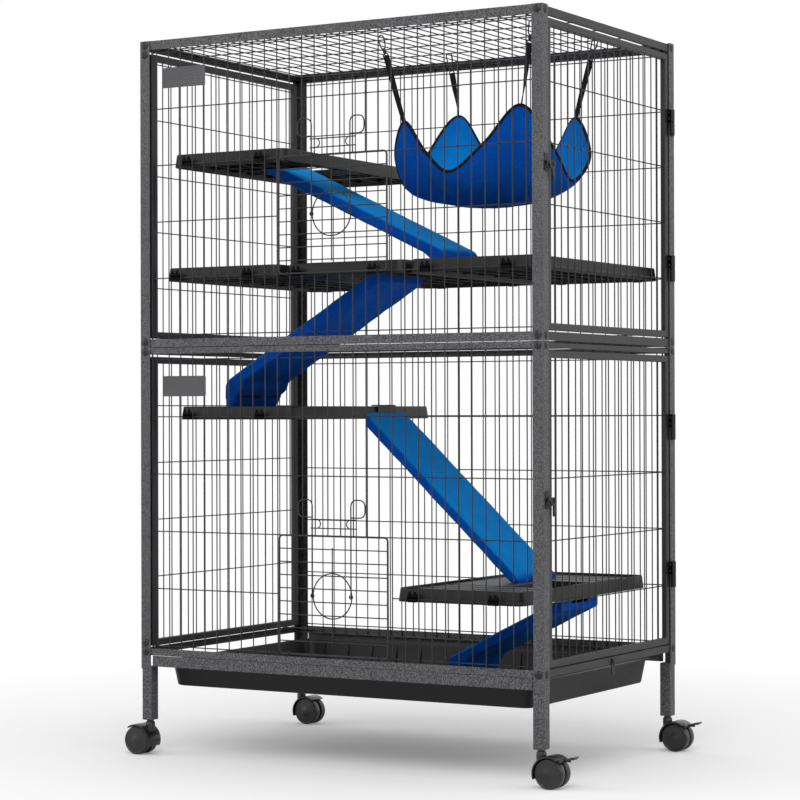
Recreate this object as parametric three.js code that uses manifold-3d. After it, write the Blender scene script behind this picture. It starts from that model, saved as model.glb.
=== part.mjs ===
// Two-storey ferret cage on casters: angle-steel frame, welded wire panels, two tall side doors,
// two drop-down front doors, hanging shelves, ramps, a hammock and a slide-out pan.
// Millimetres, +Z up. X runs along the long side, the tall doors are on +X, the small doors on -Y.
// The origin is on the floor, under the middle of the bounding box.
import * as THREE from 'three';
import { mergeVertices, mergeGeometries } from 'three/addons/utils/BufferGeometryUtils.js';
import Module from 'manifold-3d';

const wasm = await Module();
wasm.setup();

// ---- driving dimensions -------------------------------------------------------------------
const CLEAR = 0.3;              // gap between pieces that touch
const BITE = 0.2;               // how far welded members sink into each other

// frame
const CAGE_LENGTH = 802;        // over the corner posts, along X
const CAGE_WIDTH = 520;         // over the corner posts, along Y
const POST_BOTTOM = 153;        // floor to the foot of the corner posts
const STOREY_LOWER = 569.5;     // height of the lower frame
const STOREY_UPPER = 545;       // height of the upper frame
const STOREY_GAP = 4;           // foot of the upper storey's rails above the joint
const POST_FLANGE = 20;
const SHEET = 2;                // wall of the angle steel
const RAIL_TOP = 16;            // face height of the top rail
const RAIL_MID = 11;            // face height of the two middle rails
const RAIL_BOTTOM = 12.5;       // face height of the bottom rail
const RAIL_LEDGE = 9.5;         // inward leg of every rail
const RUNNER_TOP_GAP = 11;      // foot of the bottom rail above the foot of its runner's ledge
const BOTTOM_RAIL_LIFT = 24;    // bottom rail above the foot of the posts
const RUNNER_HEIGHT = 19.5;
const LEG_SIZE = 20.5;
const LEG_INSET = 1;
const LEG_LENGTH = 91;
const BOLT_R = 4.5;
const BOLT_HEAD = 2.6;

// wire mesh
const WIRE = 2;                 // thickness of the mesh wire
const EDGE_WIRE = 3;            // border wire of a panel
const MESH_PITCH = 25.4;        // spacing of the close wires
const LONG_WIRES = 30;          // close wires along the long side
const SHORT_WIRES = 17;         // close wires along the short side
const ROW_PITCH_UPPER = 100.2;
const ROW_PITCH_LOWER = 101.5;
const ROWS = 6;
const ROW_LIFT_UPPER = 18.4;    // first cross wire above the foot of its storey
const ROW_LIFT_LOWER = 17.2;
const LEFT_LIFT_UPPER = 102.7;  // the same on the left side
const LEFT_LIFT_LOWER = 138.5;
const ROOF_CROSS_PITCH = 100;
const ROOF_CROSS_SIDE = 2;      // cross wires of the roof on each side of its middle
const ROOF_EDGE = 12;           // face of the roof's frame

// tall doors
const DOOR_GAP = 2;             // around the door
const DOOR_BAR = 12;            // face of the door's tube
const DOOR_DEPTH = 10;
const DOOR_FACE_INSET = 2;      // door face behind the post face
const HINGE_PIN_R = 2.4;
const HINGE_KNUCKLE_R = 4.6;
const HINGE_STAND = 5.5;        // pin centre in front of the post face
const HINGE_HEIGHT = 46;
const HINGE_LEAF = 2;
const HINGE_RISE_UPPER_TOP = 397.2;     // middle of a hinge above the foot of its storey
const HINGE_RISE_UPPER_BOTTOM = 136.2;
const HINGE_RISE_LOWER_TOP = 402.5;
const HINGE_RISE_LOWER_BOTTOM = 139.5;
const LATCH_RISE_UPPER = 283.2;
const LATCH_RISE_LOWER = 287;
const LATCH_PIN_R = 2.5;
const LATCH_FLARE = 2.4;        // the hook's slot widens towards the pivot, so that it swings off the stud

// drop-down doors
const SMALL_DOOR_HALF = 108;    // centre to the side wire
const SMALL_DOOR_WIRE = 3.4;
const SMALL_DOOR_ROWS = 9;      // gaps between its rungs
const SMALL_DOOR_STAND = 4.6;   // its wire in front of the mesh wires
const OPENING_FIRST_WIRE = 10;
const OPENING_LAST_WIRE = 19;
const RING_R = 38.5;
const ROD_X = 38.5;
const HANDLE_WIRE = 2.2;
const PIVOT_R = 1.4;
const HANDLE_TOP = 62;          // above the door's top wire
const HANDLE_CROSS = 32;
const HANDLE_BEND = 6;
const HANDLE_REACH = 28;        // finger loop beyond the rod
const CATCH_LOW = 13;
const CATCH_HIGH = 28;
const CATCH_HALF = 46;
const CATCH_LOOP = 27;          // centre to the tie between the two catch wires
const EYE_R = 2.9;              // bore of the hinge eyes
const EYE_WIDTH = 3;
const PLATE_WIDTH = 91;
const PLATE_HEIGHT = 36;
const PLATE_DROP = 50;          // below the top of the storey
const PLATE_THICK = 1.6;
const PLATE_LEFT = -354;        // left edge of the bare plate

// shelves
const SHELF_LENGTH = 240;       // along X
const SHELF_FRONT_GAP = 12;     // rim to the outer face of the posts
const SHELF_REAR_GAP = 22;
const SHELF_HEIGHT = 23;
const SHELF_DROP = 5;           // rim's foot below the wire that carries it
const SHELF_DECK_UNDER = 16;    // underside of the deck above the rim's foot
const SHELF_DECK = 2.5;
const SHELF_WALL = 2.5;
const SHELF_TAPER = 3;
const SHELF_CORNER = 18;
const CLIP_WIDTH = 18;
const TOP_SHELF_X = -342;       // left end of each shelf
const MIDDLE_LEFT_X = -357;
const MIDDLE_LEFT_GAP = 13;     // between the left and the centre middle shelf
const MIDDLE_RIGHT_GAP = 5;     // between the centre and the right middle shelf
const MIDDLE_CENTRE_X = MIDDLE_LEFT_X + SHELF_LENGTH + MIDDLE_LEFT_GAP;
const MIDDLE_RIGHT_X = MIDDLE_CENTRE_X + SHELF_LENGTH + MIDDLE_RIGHT_GAP;
const LOWER_SHELF_X = -329;
const BOTTOM_SHELF_X = 115;
const TOP_HOLE_START = 80;      // ends of a shelf's hole from its left end
const TOP_HOLE_END = 192;
const CENTRE_HOLE_START = 26;
const CENTRE_HOLE_END = 126.6;
const BOTTOM_HOLE_START = 129;
const BOTTOM_HOLE_END = 223;
const RAMP_CROWN = 2;           // swell of a sleeve's face
const RAMP_EDGE = 6;            // roundness of its long edges
const RAMP_NOSE = 7;            // roundness of its lower end
const RAMP_SLOT = 154;          // width of the hole in a shelf that a ramp comes through
const HOOK_WIDTH = 60;
const HOOK_THICK = 2.2;
const HOOK_REACH = 12;          // lip of a hook over a deck
const HOOK_REACH_RIM = 14;
const HOOK_REACH_SHORT = 9;
const RAMP_1_WIDTH = 130;
const RAMP_1_DEEP = 23;         // thickness, measured plumb
const RAMP_1_HEAD = 6.7;        // top of its head above the deck that carries it
const RAMP_1_FOOT = 210;        // nose from the left end of the shelf it stands on
const RAMP_1_NOSE = 32;         // top of its nose above the deck there
const RAMP_1_HANG = 40;         // length over which the sleeve hangs down to that deck
const RAMP_2_WIDTH = 148;
const RAMP_2_DEEP = 26;
const RAMP_2_HEAD = 2.2;
const RAMP_2_FOOT = 26;
const RAMP_2_NOSE = 50;
const RAMP_2_HANG = 40;
const RAMP_2_Y = -63;           // middle of its width
const RAMP_3_WIDTH = 145;
const RAMP_3_DEEP = 24;
const RAMP_3_HEAD = -9;
const RAMP_3_FOOT = 105;
const RAMP_3_NOSE = 9;
const RAMP_3_HANG = 17;
const RAMP_3_Y = 70;
const RAMP_4_WIDTH = 140;
const RAMP_4_DEEP = 22;
const RAMP_4_HEAD = -18;
const RAMP_4_FOOT = 2;
const RAMP_4_NOSE = 56;
const RAMP_4_HANG = 40;

// pan
const PAN_END_GAP = 28;         // rim to the outer face of the posts, along X
const PAN_SIDE_GAP = 21;        // and along Y
const PAN_WALL_INSET = 9;
const PAN_BOTTOM = 122;         // above the floor
const PAN_TAPER = 8;
const PAN_WALL = 2.5;
const PAN_RIM = 3;
const PAN_CORNER = 26;
const PAN_CLIP_LENGTH = 22;

// casters
const WHEEL_R = 25;
const WHEEL_SIDES = 18;         // flats on the tread; one lies on the floor
const WHEEL_WIDTH = 15;
const WHEEL_GAP = 6;            // between the twin wheels
const AXLE_R = 4;
const HOOD_R = 29;
const HOOD_WALL = 2.6;
const CASTER_TRAIL = 20;
const HOOD_FRONT = 54;          // degrees above the axle where the hood starts and ends
const HOOD_REAR = 200;
const WEB_GAP = 0.8;            // web of the hood to the wheels
const BRAKE_HALF = 9;
const BRAKE_PIN_R = 2.6;
const STEM_R = 4.2;
const STEM_LENGTH = 12;
const STEM_COLLAR_R = 8;

// hammock
const HAMMOCK_X = 170;
const HAMMOCK_Y = 3;
const HAMMOCK_DROP = 303.5;     // its lowest point below the top of the cage
const HAMMOCK_STEEP = 2.2;      // how late the cloth rises towards its rim
const HAMMOCK_FOLD = 2.5;       // folds that run in from the four lobes
const HAMMOCK_CELLS = 16;
const HAMMOCK_THICK = 5;
const STRAP_WIDTH = 10;
const STRAP_THICK = 2;
const STRAP_SEAT = 0.6;         // webbing above the cloth's corner
const STRAP_WIRE_LEFT = 15;     // roof wires that the snap clips hang on
const STRAP_WIRE_RIGHT = 27;
const SNAP_LENGTH = 26;         // body of the snap clip below its ring
const SNAP_WIDTH = 6;
const SNAP_DEPTH = 4;
const CLIP_RING_R = 7.5;
const CLIP_RING_WIRE = 1.5;

// ---- levels worked out from them ----------------------------------------------------------
const X = CAGE_LENGTH / 2;
const Y = CAGE_WIDTH / 2;
const PAN_LENGTH = CAGE_LENGTH - 2 * PAN_END_GAP;
const PAN_WIDTH = CAGE_WIDTH - 2 * PAN_SIDE_GAP;
const SHELF_FRONT = SHELF_FRONT_GAP - Y;
const SHELF_DEPTH = CAGE_WIDTH - SHELF_FRONT_GAP - SHELF_REAR_GAP;
const SPLIT = POST_BOTTOM + STOREY_LOWER;
const TOP = SPLIT + STOREY_UPPER;
const LEG_BOTTOM = POST_BOTTOM - LEG_LENGTH;
const RAIL_FACE = SHEET + CLEAR;                 // rail face behind the post face
const LONG_RAIL_BACK = RAIL_FACE + SHEET;        // back of a rail's upright leg
const WIRE_FRONT = LONG_RAIL_BACK + CLEAR;       // close wires, behind the outer face
const ROW_FRONT = WIRE_FRONT + WIRE + CLEAR;     // cross wires lie behind the close wires
const MESH_BACK = ROW_FRONT + WIRE;
const BOTTOM_RAIL = POST_BOTTOM + BOTTOM_RAIL_LIFT;
const LEDGE = BOTTOM_RAIL - RUNNER_TOP_GAP - SHEET - SHEET;
const UPPER_FOOT = SPLIT + CLEAR + STOREY_GAP;
const storeys = {
  upper: {
    foot: UPPER_FOOT, head: TOP, footRail: RAIL_MID, headRail: RAIL_TOP,
    rowBase: UPPER_FOOT + ROW_LIFT_UPPER, rowPitch: ROW_PITCH_UPPER, leftRow: UPPER_FOOT + LEFT_LIFT_UPPER,
    latch: UPPER_FOOT + LATCH_RISE_UPPER,
    hinges: [UPPER_FOOT + HINGE_RISE_UPPER_TOP, UPPER_FOOT + HINGE_RISE_UPPER_BOTTOM],
  },
  lower: {
    foot: BOTTOM_RAIL, head: SPLIT - CLEAR, footRail: RAIL_BOTTOM, headRail: RAIL_MID,
    rowBase: BOTTOM_RAIL + ROW_LIFT_LOWER, rowPitch: ROW_PITCH_LOWER, leftRow: BOTTOM_RAIL + LEFT_LIFT_LOWER,
    latch: BOTTOM_RAIL + LATCH_RISE_LOWER,
    hinges: [BOTTOM_RAIL + HINGE_RISE_LOWER_TOP, BOTTOM_RAIL + HINGE_RISE_LOWER_BOTTOM],
  },
};
const wireX = (k) => (k - (LONG_WIRES - 1) / 2) * MESH_PITCH;
const rowZ = (storey, k) => storey.rowBase + k * storey.rowPitch;
const rowsOf = (storey) => Array.from({ length: ROWS }, (_, k) => rowZ(storey, k))
  .filter((z) => z < storey.head - storey.headRail - WIRE);

// ---- solid helpers ------------------------------------------------------------------------
function toSolid(geometry) {
  const bare = geometry.index ? geometry.toNonIndexed() : geometry.clone();
  bare.deleteAttribute('normal');
  bare.deleteAttribute('uv');
  const merged = mergeVertices(bare, 1e-4);
  return new wasm.Manifold(new wasm.Mesh({
    numProp: 3,
    vertProperties: new Float32Array(merged.attributes.position.array),
    triVerts: new Uint32Array(merged.index.array),
  }));
}

function toGeometry(solid) {
  const mesh = solid.getMesh();
  const geometry = new THREE.BufferGeometry();
  geometry.setAttribute('position', new THREE.BufferAttribute(mesh.vertProperties, mesh.numProp));
  geometry.setIndex(new THREE.BufferAttribute(mesh.triVerts, 1));
  return geometry;
}

const join = (pieces) => pieces.map((p) => (p.isBufferGeometry ? toSolid(p) : p)).reduce((a, b) => a.add(b));
const cut = (body, tool) => body.subtract(tool.isBufferGeometry ? toSolid(tool) : tool);

function box(x0, x1, y0, y1, z0, z1) {
  const geometry = new THREE.BoxGeometry(x1 - x0, y1 - y0, z1 - z0);
  return geometry.translate((x0 + x1) / 2, (y0 + y1) / 2, (z0 + z1) / 2);
}

// Round bar from one end to the other along the axis 'x', 'y' or 'z', centred on the other two.
function bar(axis, radius, from, to, u, v, sides = 12) {
  const geometry = new THREE.CylinderGeometry(radius, radius, to - from, sides);
  const mid = (from + to) / 2;
  if (axis === 'x') return geometry.rotateZ(Math.PI / 2).translate(mid, u, v);
  if (axis === 'z') return geometry.rotateX(Math.PI / 2).translate(u, v, mid);
  return geometry.translate(u, mid, v);
}

// Radius of a many-sided bar whose flats lie at the given radius, so that a pin turns freely in it.
const overFlats = (radius, sides) => radius / Math.cos(Math.PI / sides);

// Outline in the XZ plane, drawn from y0 to y1.
function prismY(outline, y0, y1) {
  const shape = new THREE.Shape(outline.map(([x, z]) => new THREE.Vector2(x, z)));
  const geometry = new THREE.ExtrudeGeometry(shape, { depth: y1 - y0, bevelEnabled: false });
  return geometry.rotateX(Math.PI / 2).translate(0, y1, 0);
}

// Outline in the YZ plane, drawn from x0 to x1.
function prismX(outline, x0, x1) {
  const shape = new THREE.Shape(outline.map(([y, z]) => new THREE.Vector2(y, z)));
  const geometry = new THREE.ExtrudeGeometry(shape, { depth: x1 - x0, bevelEnabled: false });
  return geometry.rotateY(Math.PI / 2).rotateX(Math.PI / 2).translate(x0, 0, 0);
}

// Closed skin over a stack of rings that all have the same number of points.
function loft(rings) {
  const n = rings[0].length;
  const position = rings.flat().flatMap((p) => [p.x, p.y, p.z]);
  const index = [];
  for (let r = 0; r + 1 < rings.length; r += 1) {
    for (let i = 0; i < n; i += 1) {
      const a = r * n + i;
      const b = r * n + ((i + 1) % n);
      index.push(a, b, b + n, a, b + n, a + n);
    }
  }
  const last = (rings.length - 1) * n;
  for (let i = 1; i + 1 < n; i += 1) {
    index.push(0, i + 1, i, last, last + i, last + i + 1);
  }
  const geometry = new THREE.BufferGeometry();
  geometry.setAttribute('position', new THREE.Float32BufferAttribute(position, 3));
  geometry.setIndex(index);
  return geometry;
}

// Wire along a list of points, its section kept square to the path, thickness across its flats.
function wire(points, thickness, sides = 4) {
  const path = points.map((p) => (p.isVector3 ? p : new THREE.Vector3(...p)));
  const tangents = path.map((p, i) => {
    const before = i > 0 ? p.clone().sub(path[i - 1]).normalize() : new THREE.Vector3();
    const after = i + 1 < path.length ? path[i + 1].clone().sub(p).normalize() : new THREE.Vector3();
    return before.add(after).normalize();
  });
  const start = Math.abs(tangents[0].y) < 0.9 ? new THREE.Vector3(0, 1, 0) : new THREE.Vector3(1, 0, 0);
  let side = start.sub(tangents[0].clone().multiplyScalar(start.dot(tangents[0]))).normalize();
  const radius = thickness / 2 / Math.cos(Math.PI / sides);
  const rings = path.map((p, i) => {
    side = side.clone().sub(tangents[i].clone().multiplyScalar(side.dot(tangents[i]))).normalize();
    const up = tangents[i].clone().cross(side);
    return Array.from({ length: sides }, (_, k) => {
      const angle = ((k + 0.5) / sides) * 2 * Math.PI;
      return p.clone()
        .addScaledVector(side, Math.cos(angle) * radius)
        .addScaledVector(up, Math.sin(angle) * radius);
    });
  });
  return loft(rings);
}

// Corner points of a path replaced by short bends.
function rounded(points, radius, steps = 3) {
  const path = points.map((p) => new THREE.Vector3(...p));
  const out = [path[0]];
  for (let i = 1; i + 1 < path.length; i += 1) {
    const a = path[i].clone().add(path[i - 1].clone().sub(path[i]).setLength(radius));
    const b = path[i].clone().add(path[i + 1].clone().sub(path[i]).setLength(radius));
    const bend = new THREE.QuadraticBezierCurve3(a, path[i], b);
    out.push(...bend.getPoints(steps));
  }
  out.push(path[path.length - 1]);
  return out;
}

// Outline of a flat band along a path in the XZ plane, its edges parallel to the path.
function band(path, width) {
  const left = [];
  const right = [];
  path.forEach((p, i) => {
    const before = p.clone().sub(path[Math.max(i, 1) - 1]);
    const after = path[Math.min(i + 1, path.length - 1)].clone().sub(p);
    const a = (i > 0 ? before : after).normalize();
    const b = (i + 1 < path.length ? after : before).normalize();
    const out = new THREE.Vector2(-a.z - b.z, a.x + b.x).normalize();
    const reach = width / 2 / (out.y * a.x - out.x * a.z);
    left.push([p.x + out.x * reach, p.z + out.y * reach]);
    right.unshift([p.x - out.x * reach, p.z - out.y * reach]);
  });
  return [...left, ...right];
}

// Rounded rectangle at height z, centred on (cx, cy), as a ring for loft.
function roundedRect(cx, cy, halfX, halfY, radius, z, steps = 3) {
  const ring = [];
  const corners = [[1, 1], [-1, 1], [-1, -1], [1, -1]];
  corners.forEach(([sx, sy], c) => {
    for (let i = 0; i <= steps; i += 1) {
      const angle = (c + i / steps) * (Math.PI / 2);
      ring.push(new THREE.Vector3(
        cx + sx * (halfX - radius) + radius * Math.cos(angle),
        cy + sy * (halfY - radius) + radius * Math.sin(angle),
        z,
      ));
    }
  });
  return ring;
}

// ---- materials ----------------------------------------------------------------------------
const material = (color, roughness, metalness) => new THREE.MeshStandardMaterial({ color, roughness, metalness });
const hammered = () => material(0x5a595b, 0.5, 0.6);
const smoothGrey = () => material(0x505153, 0.5, 0.5);
const wireGrey = () => material(0x4a4a4c, 0.45, 0.6);
const blackPlastic = () => material(0x1d1d1f, 0.55, 0);
const blackMetal = () => material(0x1a1a1b, 0.45, 0.5);
const blueFleece = () => material(0x0b46a8, 0.95, 0);
const webbing = () => material(0x111113, 0.8, 0);

const cage = new THREE.Group();
function piece(name, solid, look, parent = cage) {
  const geometry = solid.isBufferGeometry ? solid : toGeometry(solid);
  const mesh = new THREE.Mesh(geometry, look);
  mesh.name = name;
  parent.add(mesh);
  return mesh;
}

// ---- corner posts and legs ----------------------------------------------------------------
// Angle with its corner at (X, Y), turned by signs to each corner of the cage.
function angle(sx, sy, z0, z1) {
  const flange = (u0, u1, v0, v1) => box(
    Math.min(sx * u0, sx * u1), Math.max(sx * u0, sx * u1),
    Math.min(sy * v0, sy * v1), Math.max(sy * v0, sy * v1), z0, z1,
  );
  return [flange(X - POST_FLANGE, X, Y - SHEET, Y), flange(X - SHEET, X, Y - POST_FLANGE, Y)];
}

function boltHead(sx, sy, z) {
  const face = sy * (Y - BITE);
  const tip = sy * (Y + BOLT_HEAD);
  const x = sx * (X - POST_FLANGE / 2);
  return bar('y', BOLT_R, Math.min(face, tip), Math.max(face, tip), x, z, 6);
}

// Stud on the post that a door latch hooks over, and the stop below it.
function keeper(z) {
  const y = -(Y - 11);
  return [
    bar('x', LATCH_PIN_R, X - BITE, X + 7, y, z, 8),
    box(X - BITE, X + 3, y - 7, y + 7, z - 13, z - 9),
  ];
}

const corners = [['front_left', -1, -1], ['front_right', 1, -1], ['rear_left', -1, 1], ['rear_right', 1, 1]];
const BOLT_DROP = 8;
const BOLT_PITCH = 16;
corners.forEach(([corner, sx, sy]) => {
  const doubled = sx < 0;
  const upperBolts = [TOP - BOLT_DROP, SPLIT + BOLT_DROP + 2];
  const lowerBolts = [SPLIT - BOLT_DROP + 1, BOTTOM_RAIL + RAIL_BOTTOM / 2];
  if (doubled) {
    upperBolts.push(TOP - BOLT_DROP - BOLT_PITCH);
    lowerBolts.push(BOTTOM_RAIL + RAIL_BOTTOM / 2 + BOLT_PITCH);
  }
  const upper = [...angle(sx, sy, SPLIT + CLEAR, TOP), ...upperBolts.map((z) => boltHead(sx, sy, z))];
  const outX = X - LEG_INSET;
  const outY = Y - LEG_INSET;
  const legTop = POST_BOTTOM + 4;
  const leg = toSolid(box(
    Math.min(sx * outX, sx * (outX - LEG_SIZE)), Math.max(sx * outX, sx * (outX - LEG_SIZE)),
    Math.min(sy * outY, sy * (outY - LEG_SIZE)), Math.max(sy * outY, sy * (outY - LEG_SIZE)),
    LEG_BOTTOM, legTop,
  ));
  const legX = sx * (outX - LEG_SIZE / 2);
  const legY = sy * (outY - LEG_SIZE / 2);
  const socket = bar('z', overFlats(STEM_R + CLEAR, 8), LEG_BOTTOM - 1, LEG_BOTTOM + STEM_LENGTH + 1, legX, legY, 8);
  const lower = [...angle(sx, sy, POST_BOTTOM, SPLIT), cut(leg, socket), ...lowerBolts.map((z) => boltHead(sx, sy, z))];
  if (corner === 'front_right') {
    upper.push(...keeper(storeys.upper.latch));
    lower.push(...keeper(storeys.lower.latch));
  }
  piece(`post_upper_${corner}`, join(upper), hammered());
  piece(`post_lower_${corner}`, join(lower), hammered());
});

// ---- long wire panels ---------------------------------------------------------------------
// Rail of a long side at the front: upright leg with an inward ledge at its foot or head.
function longRail(z0, height, ledgeAtHead) {
  const half = X - SHEET - CLEAR;
  const ledgeZ = ledgeAtHead ? z0 + height - SHEET : z0;
  return [
    box(-half, half, -(Y - RAIL_FACE), -(Y - LONG_RAIL_BACK), z0, z0 + height),
    box(-half + 5, half - 5, -(Y - LONG_RAIL_BACK + BITE), -(Y - LONG_RAIL_BACK - RAIL_LEDGE), ledgeZ, ledgeZ + SHEET),
  ];
}

function longPanel(storey, hasRunner, opening) {
  const parts = [
    ...longRail(storey.foot, storey.footRail, false),
    ...longRail(storey.head - storey.headRail, storey.headRail, true),
  ];
  const z0 = storey.foot + SHEET - BITE;
  const z1 = storey.head - SHEET + BITE;
  const y0 = -(Y - WIRE_FRONT);
  const border = X - POST_FLANGE - EDGE_WIRE / 2;
  const closeWire = (x, from, to) => box(x - WIRE / 2, x + WIRE / 2, y0, y0 + WIRE, from, to);
  for (let k = 0; k < LONG_WIRES; k += 1) {
    if (Math.abs(wireX(k)) > border) continue;
    const inOpening = opening && k > OPENING_FIRST_WIRE && k < OPENING_LAST_WIRE;
    if (inOpening) {
      parts.push(closeWire(wireX(k), z0, opening.foot), closeWire(wireX(k), opening.head, z1));
    } else {
      parts.push(closeWire(wireX(k), z0, z1));
    }
  }
  [-1, 1].forEach((side) => {
    const x = side * border;
    parts.push(box(x - EDGE_WIRE / 2, x + EDGE_WIRE / 2, y0, -(Y - MESH_BACK), z0, z1));
  });
  rowsOf(storey).forEach((z) => {
    const spans = opening && z > opening.foot + WIRE && z < opening.head - WIRE
      ? [[-border, wireX(OPENING_FIRST_WIRE)], [wireX(OPENING_LAST_WIRE), border]] : [[-border, border]];
    spans.forEach(([a, b]) => {
      parts.push(box(a, b, -(Y - ROW_FRONT), -(Y - MESH_BACK), z - WIRE / 2, z + WIRE / 2));
    });
  });
  if (hasRunner) {
    const half = X - POST_FLANGE - 3;
    const foot = storey.foot - RUNNER_HEIGHT;
    parts.push(box(-half, half, -(Y - RAIL_FACE), -(Y - LONG_RAIL_BACK), foot, storey.foot + BITE));
    parts.push(box(-half, half, -(Y - LONG_RAIL_BACK + BITE), -(PAN_WIDTH / 2 - PAN_WALL_INSET + 2), LEDGE, LEDGE + SHEET));
  }
  return parts;
}

// Around a drop-down door: hinge eyes on the cut wires, catch wires above it and the bare plate.
function doorSurround(storey, opening) {
  const y0 = -(Y - WIRE_FRONT);
  const axisY = y0 - SMALL_DOOR_STAND + WIRE / 2;
  const parts = [];
  [OPENING_FIRST_WIRE + 1, OPENING_LAST_WIRE - 1].forEach((k) => {
    const outline = [[EYE_R, -EYE_WIDTH / 2], [EYE_R + WIRE, -EYE_WIDTH / 2], [EYE_R + WIRE, EYE_WIDTH / 2],
      [EYE_R, EYE_WIDTH / 2], [EYE_R, -EYE_WIDTH / 2]];
    const eye = new THREE.LatheGeometry(outline.map(([r, x]) => new THREE.Vector2(r, x)), 10);
    parts.push(toSolid(eye.rotateZ(Math.PI / 2).translate(wireX(k), axisY, opening.foot)));
  });
  const catchY = y0 - WIRE + BITE;
  const square = (x, z) => box(x - WIRE / 2, x + WIRE / 2, catchY, catchY + WIRE, z[0], z[1]);
  const levels = [CATCH_LOW, CATCH_HIGH].map((rise) => opening.head + rise);
  levels.forEach((z) => {
    parts.push(box(-CATCH_HALF, CATCH_HALF, catchY, catchY + WIRE, z - WIRE / 2, z + WIRE / 2));
  });
  [-1, 1].forEach((side) => parts.push(square(side * CATCH_LOOP, levels)));
  const plateTop = storey.head - PLATE_DROP;
  parts.push(box(PLATE_LEFT, PLATE_LEFT + PLATE_WIDTH, y0 - PLATE_THICK, y0 + BITE, plateTop - PLATE_HEIGHT, plateTop));
  return parts;
}

const openingOf = (storey, row) => ({ foot: rowZ(storey, row), head: rowZ(storey, row + 2) });
const upperOpening = openingOf(storeys.upper, 1);
const lowerOpening = openingOf(storeys.lower, 0);
const HALF_TURN = Math.PI;
piece('front_panel_upper', join([
  ...longPanel(storeys.upper, false, upperOpening), ...doorSurround(storeys.upper, upperOpening),
]), hammered());
piece('front_panel_lower', join([
  ...longPanel(storeys.lower, true, lowerOpening), ...doorSurround(storeys.lower, lowerOpening),
]), hammered());
piece('back_panel_upper', join(longPanel(storeys.upper, false, null)), hammered()).rotation.z = HALF_TURN;
piece('back_panel_lower', join(longPanel(storeys.lower, true, null)), hammered()).rotation.z = HALF_TURN;

// ---- short sides --------------------------------------------------------------------------
// Rails of a short side, drawn on +X, tied by two uprights behind the post flanges.
function shortFrame(storey) {
  const outer = X - RAIL_FACE;
  const inner = X - LONG_RAIL_BACK;
  const reach = Y - LONG_RAIL_BACK - CLEAR;
  const parts = [];
  [[storey.foot, storey.footRail, false], [storey.head - storey.headRail, storey.headRail - SHEET - CLEAR, true]]
    .forEach(([z0, height, ledgeAtHead]) => {
      const ledgeZ = ledgeAtHead ? z0 + height - SHEET : z0 + SHEET + CLEAR;
      parts.push(box(inner, outer, -reach, reach, z0, z0 + height));
      parts.push(box(inner - 6, inner + BITE, -reach + 12, reach - 12, ledgeZ, ledgeZ + SHEET));
    });
  [-1, 1].forEach((side) => {
    const a = side * reach;
    const b = side * (Y - POST_FLANGE + 1);
    parts.push(box(inner, outer, Math.min(a, b), Math.max(a, b), storey.foot, storey.head - SHEET - CLEAR));
  });
  return parts;
}

// Tube frame with its mesh, drawn on +X.
function framedMesh(z0, z1, firstRow, pitch) {
  const outer = X - DOOR_FACE_INSET;
  const inner = outer - DOOR_DEPTH;
  const reach = Y - POST_FLANGE - DOOR_GAP;
  const parts = [
    box(inner, outer, -reach, reach, z0, z0 + DOOR_BAR),
    box(inner, outer, -reach, reach, z1 - DOOR_BAR, z1),
    box(inner, outer, -reach, -reach + DOOR_BAR, z0, z1),
    box(inner, outer, reach - DOOR_BAR, reach, z0, z1),
  ];
  const closeX = inner + 3;
  for (let k = 0; k < SHORT_WIRES; k += 1) {
    const y = (k - (SHORT_WIRES - 1) / 2) * MESH_PITCH;
    parts.push(box(closeX, closeX + WIRE, y - WIRE / 2, y + WIRE / 2, z0 + DOOR_BAR - 1, z1 - DOOR_BAR + 1));
  }
  const rowX = closeX - CLEAR - WIRE;
  for (let z = firstRow; z < z1 - DOOR_BAR - WIRE; z += pitch) {
    parts.push(box(rowX, rowX + WIRE, -reach + DOOR_BAR - 1, reach - DOOR_BAR + 1, z - WIRE / 2, z + WIRE / 2));
  }
  return parts;
}

const doorFoot = (storey) => storey.foot + storey.footRail + DOOR_GAP;
const doorHead = (storey) => storey.head - storey.headRail - DOOR_GAP - SHEET;

const HINGE_X = X + HINGE_STAND;
const HINGE_Y = Y - POST_FLANGE - DOOR_GAP / 2;

// Fixed half of a lift-off hinge: leaf on the post, lower knuckle and pin.
function hingeFixed(z) {
  const foot = z - HINGE_HEIGHT / 2;
  const knuckle = HINGE_HEIGHT / 2 - CLEAR;
  return join([
    box(X + CLEAR, X + CLEAR + HINGE_LEAF, HINGE_Y + HINGE_KNUCKLE_R + 0.6, Y - 3, foot, z + HINGE_HEIGHT / 2),
    box(X + CLEAR, X + CLEAR + HINGE_LEAF, HINGE_Y, HINGE_Y + HINGE_KNUCKLE_R + 1, foot, foot + knuckle),
    bar('z', HINGE_KNUCKLE_R, foot, foot + knuckle, HINGE_X, HINGE_Y, 10),
    bar('z', HINGE_PIN_R, foot + 2, z + HINGE_HEIGHT / 2 - 3, HINGE_X, HINGE_Y, 8),
  ]);
}

// Door half: upper knuckle with its bore, and a leaf over the door's tube.
function hingeMoving(z) {
  const foot = z + CLEAR;
  const head = z + HINGE_HEIGHT / 2;
  const face = X - DOOR_FACE_INSET - BITE;
  const leaf = join([
    bar('z', HINGE_KNUCKLE_R, foot, head, HINGE_X, HINGE_Y, 10),
    box(X + 1.2, X + 1.2 + HINGE_LEAF, HINGE_Y - 14, HINGE_Y, foot, head),
    box(face, X + 1.2 + HINGE_LEAF, HINGE_Y - 14, HINGE_Y - 4, foot, head),
  ]);
  return cut(leaf, bar('z', overFlats(HINGE_PIN_R + CLEAR, 8), foot - 1, head - 1.5, HINGE_X, HINGE_Y, 8));
}

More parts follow.
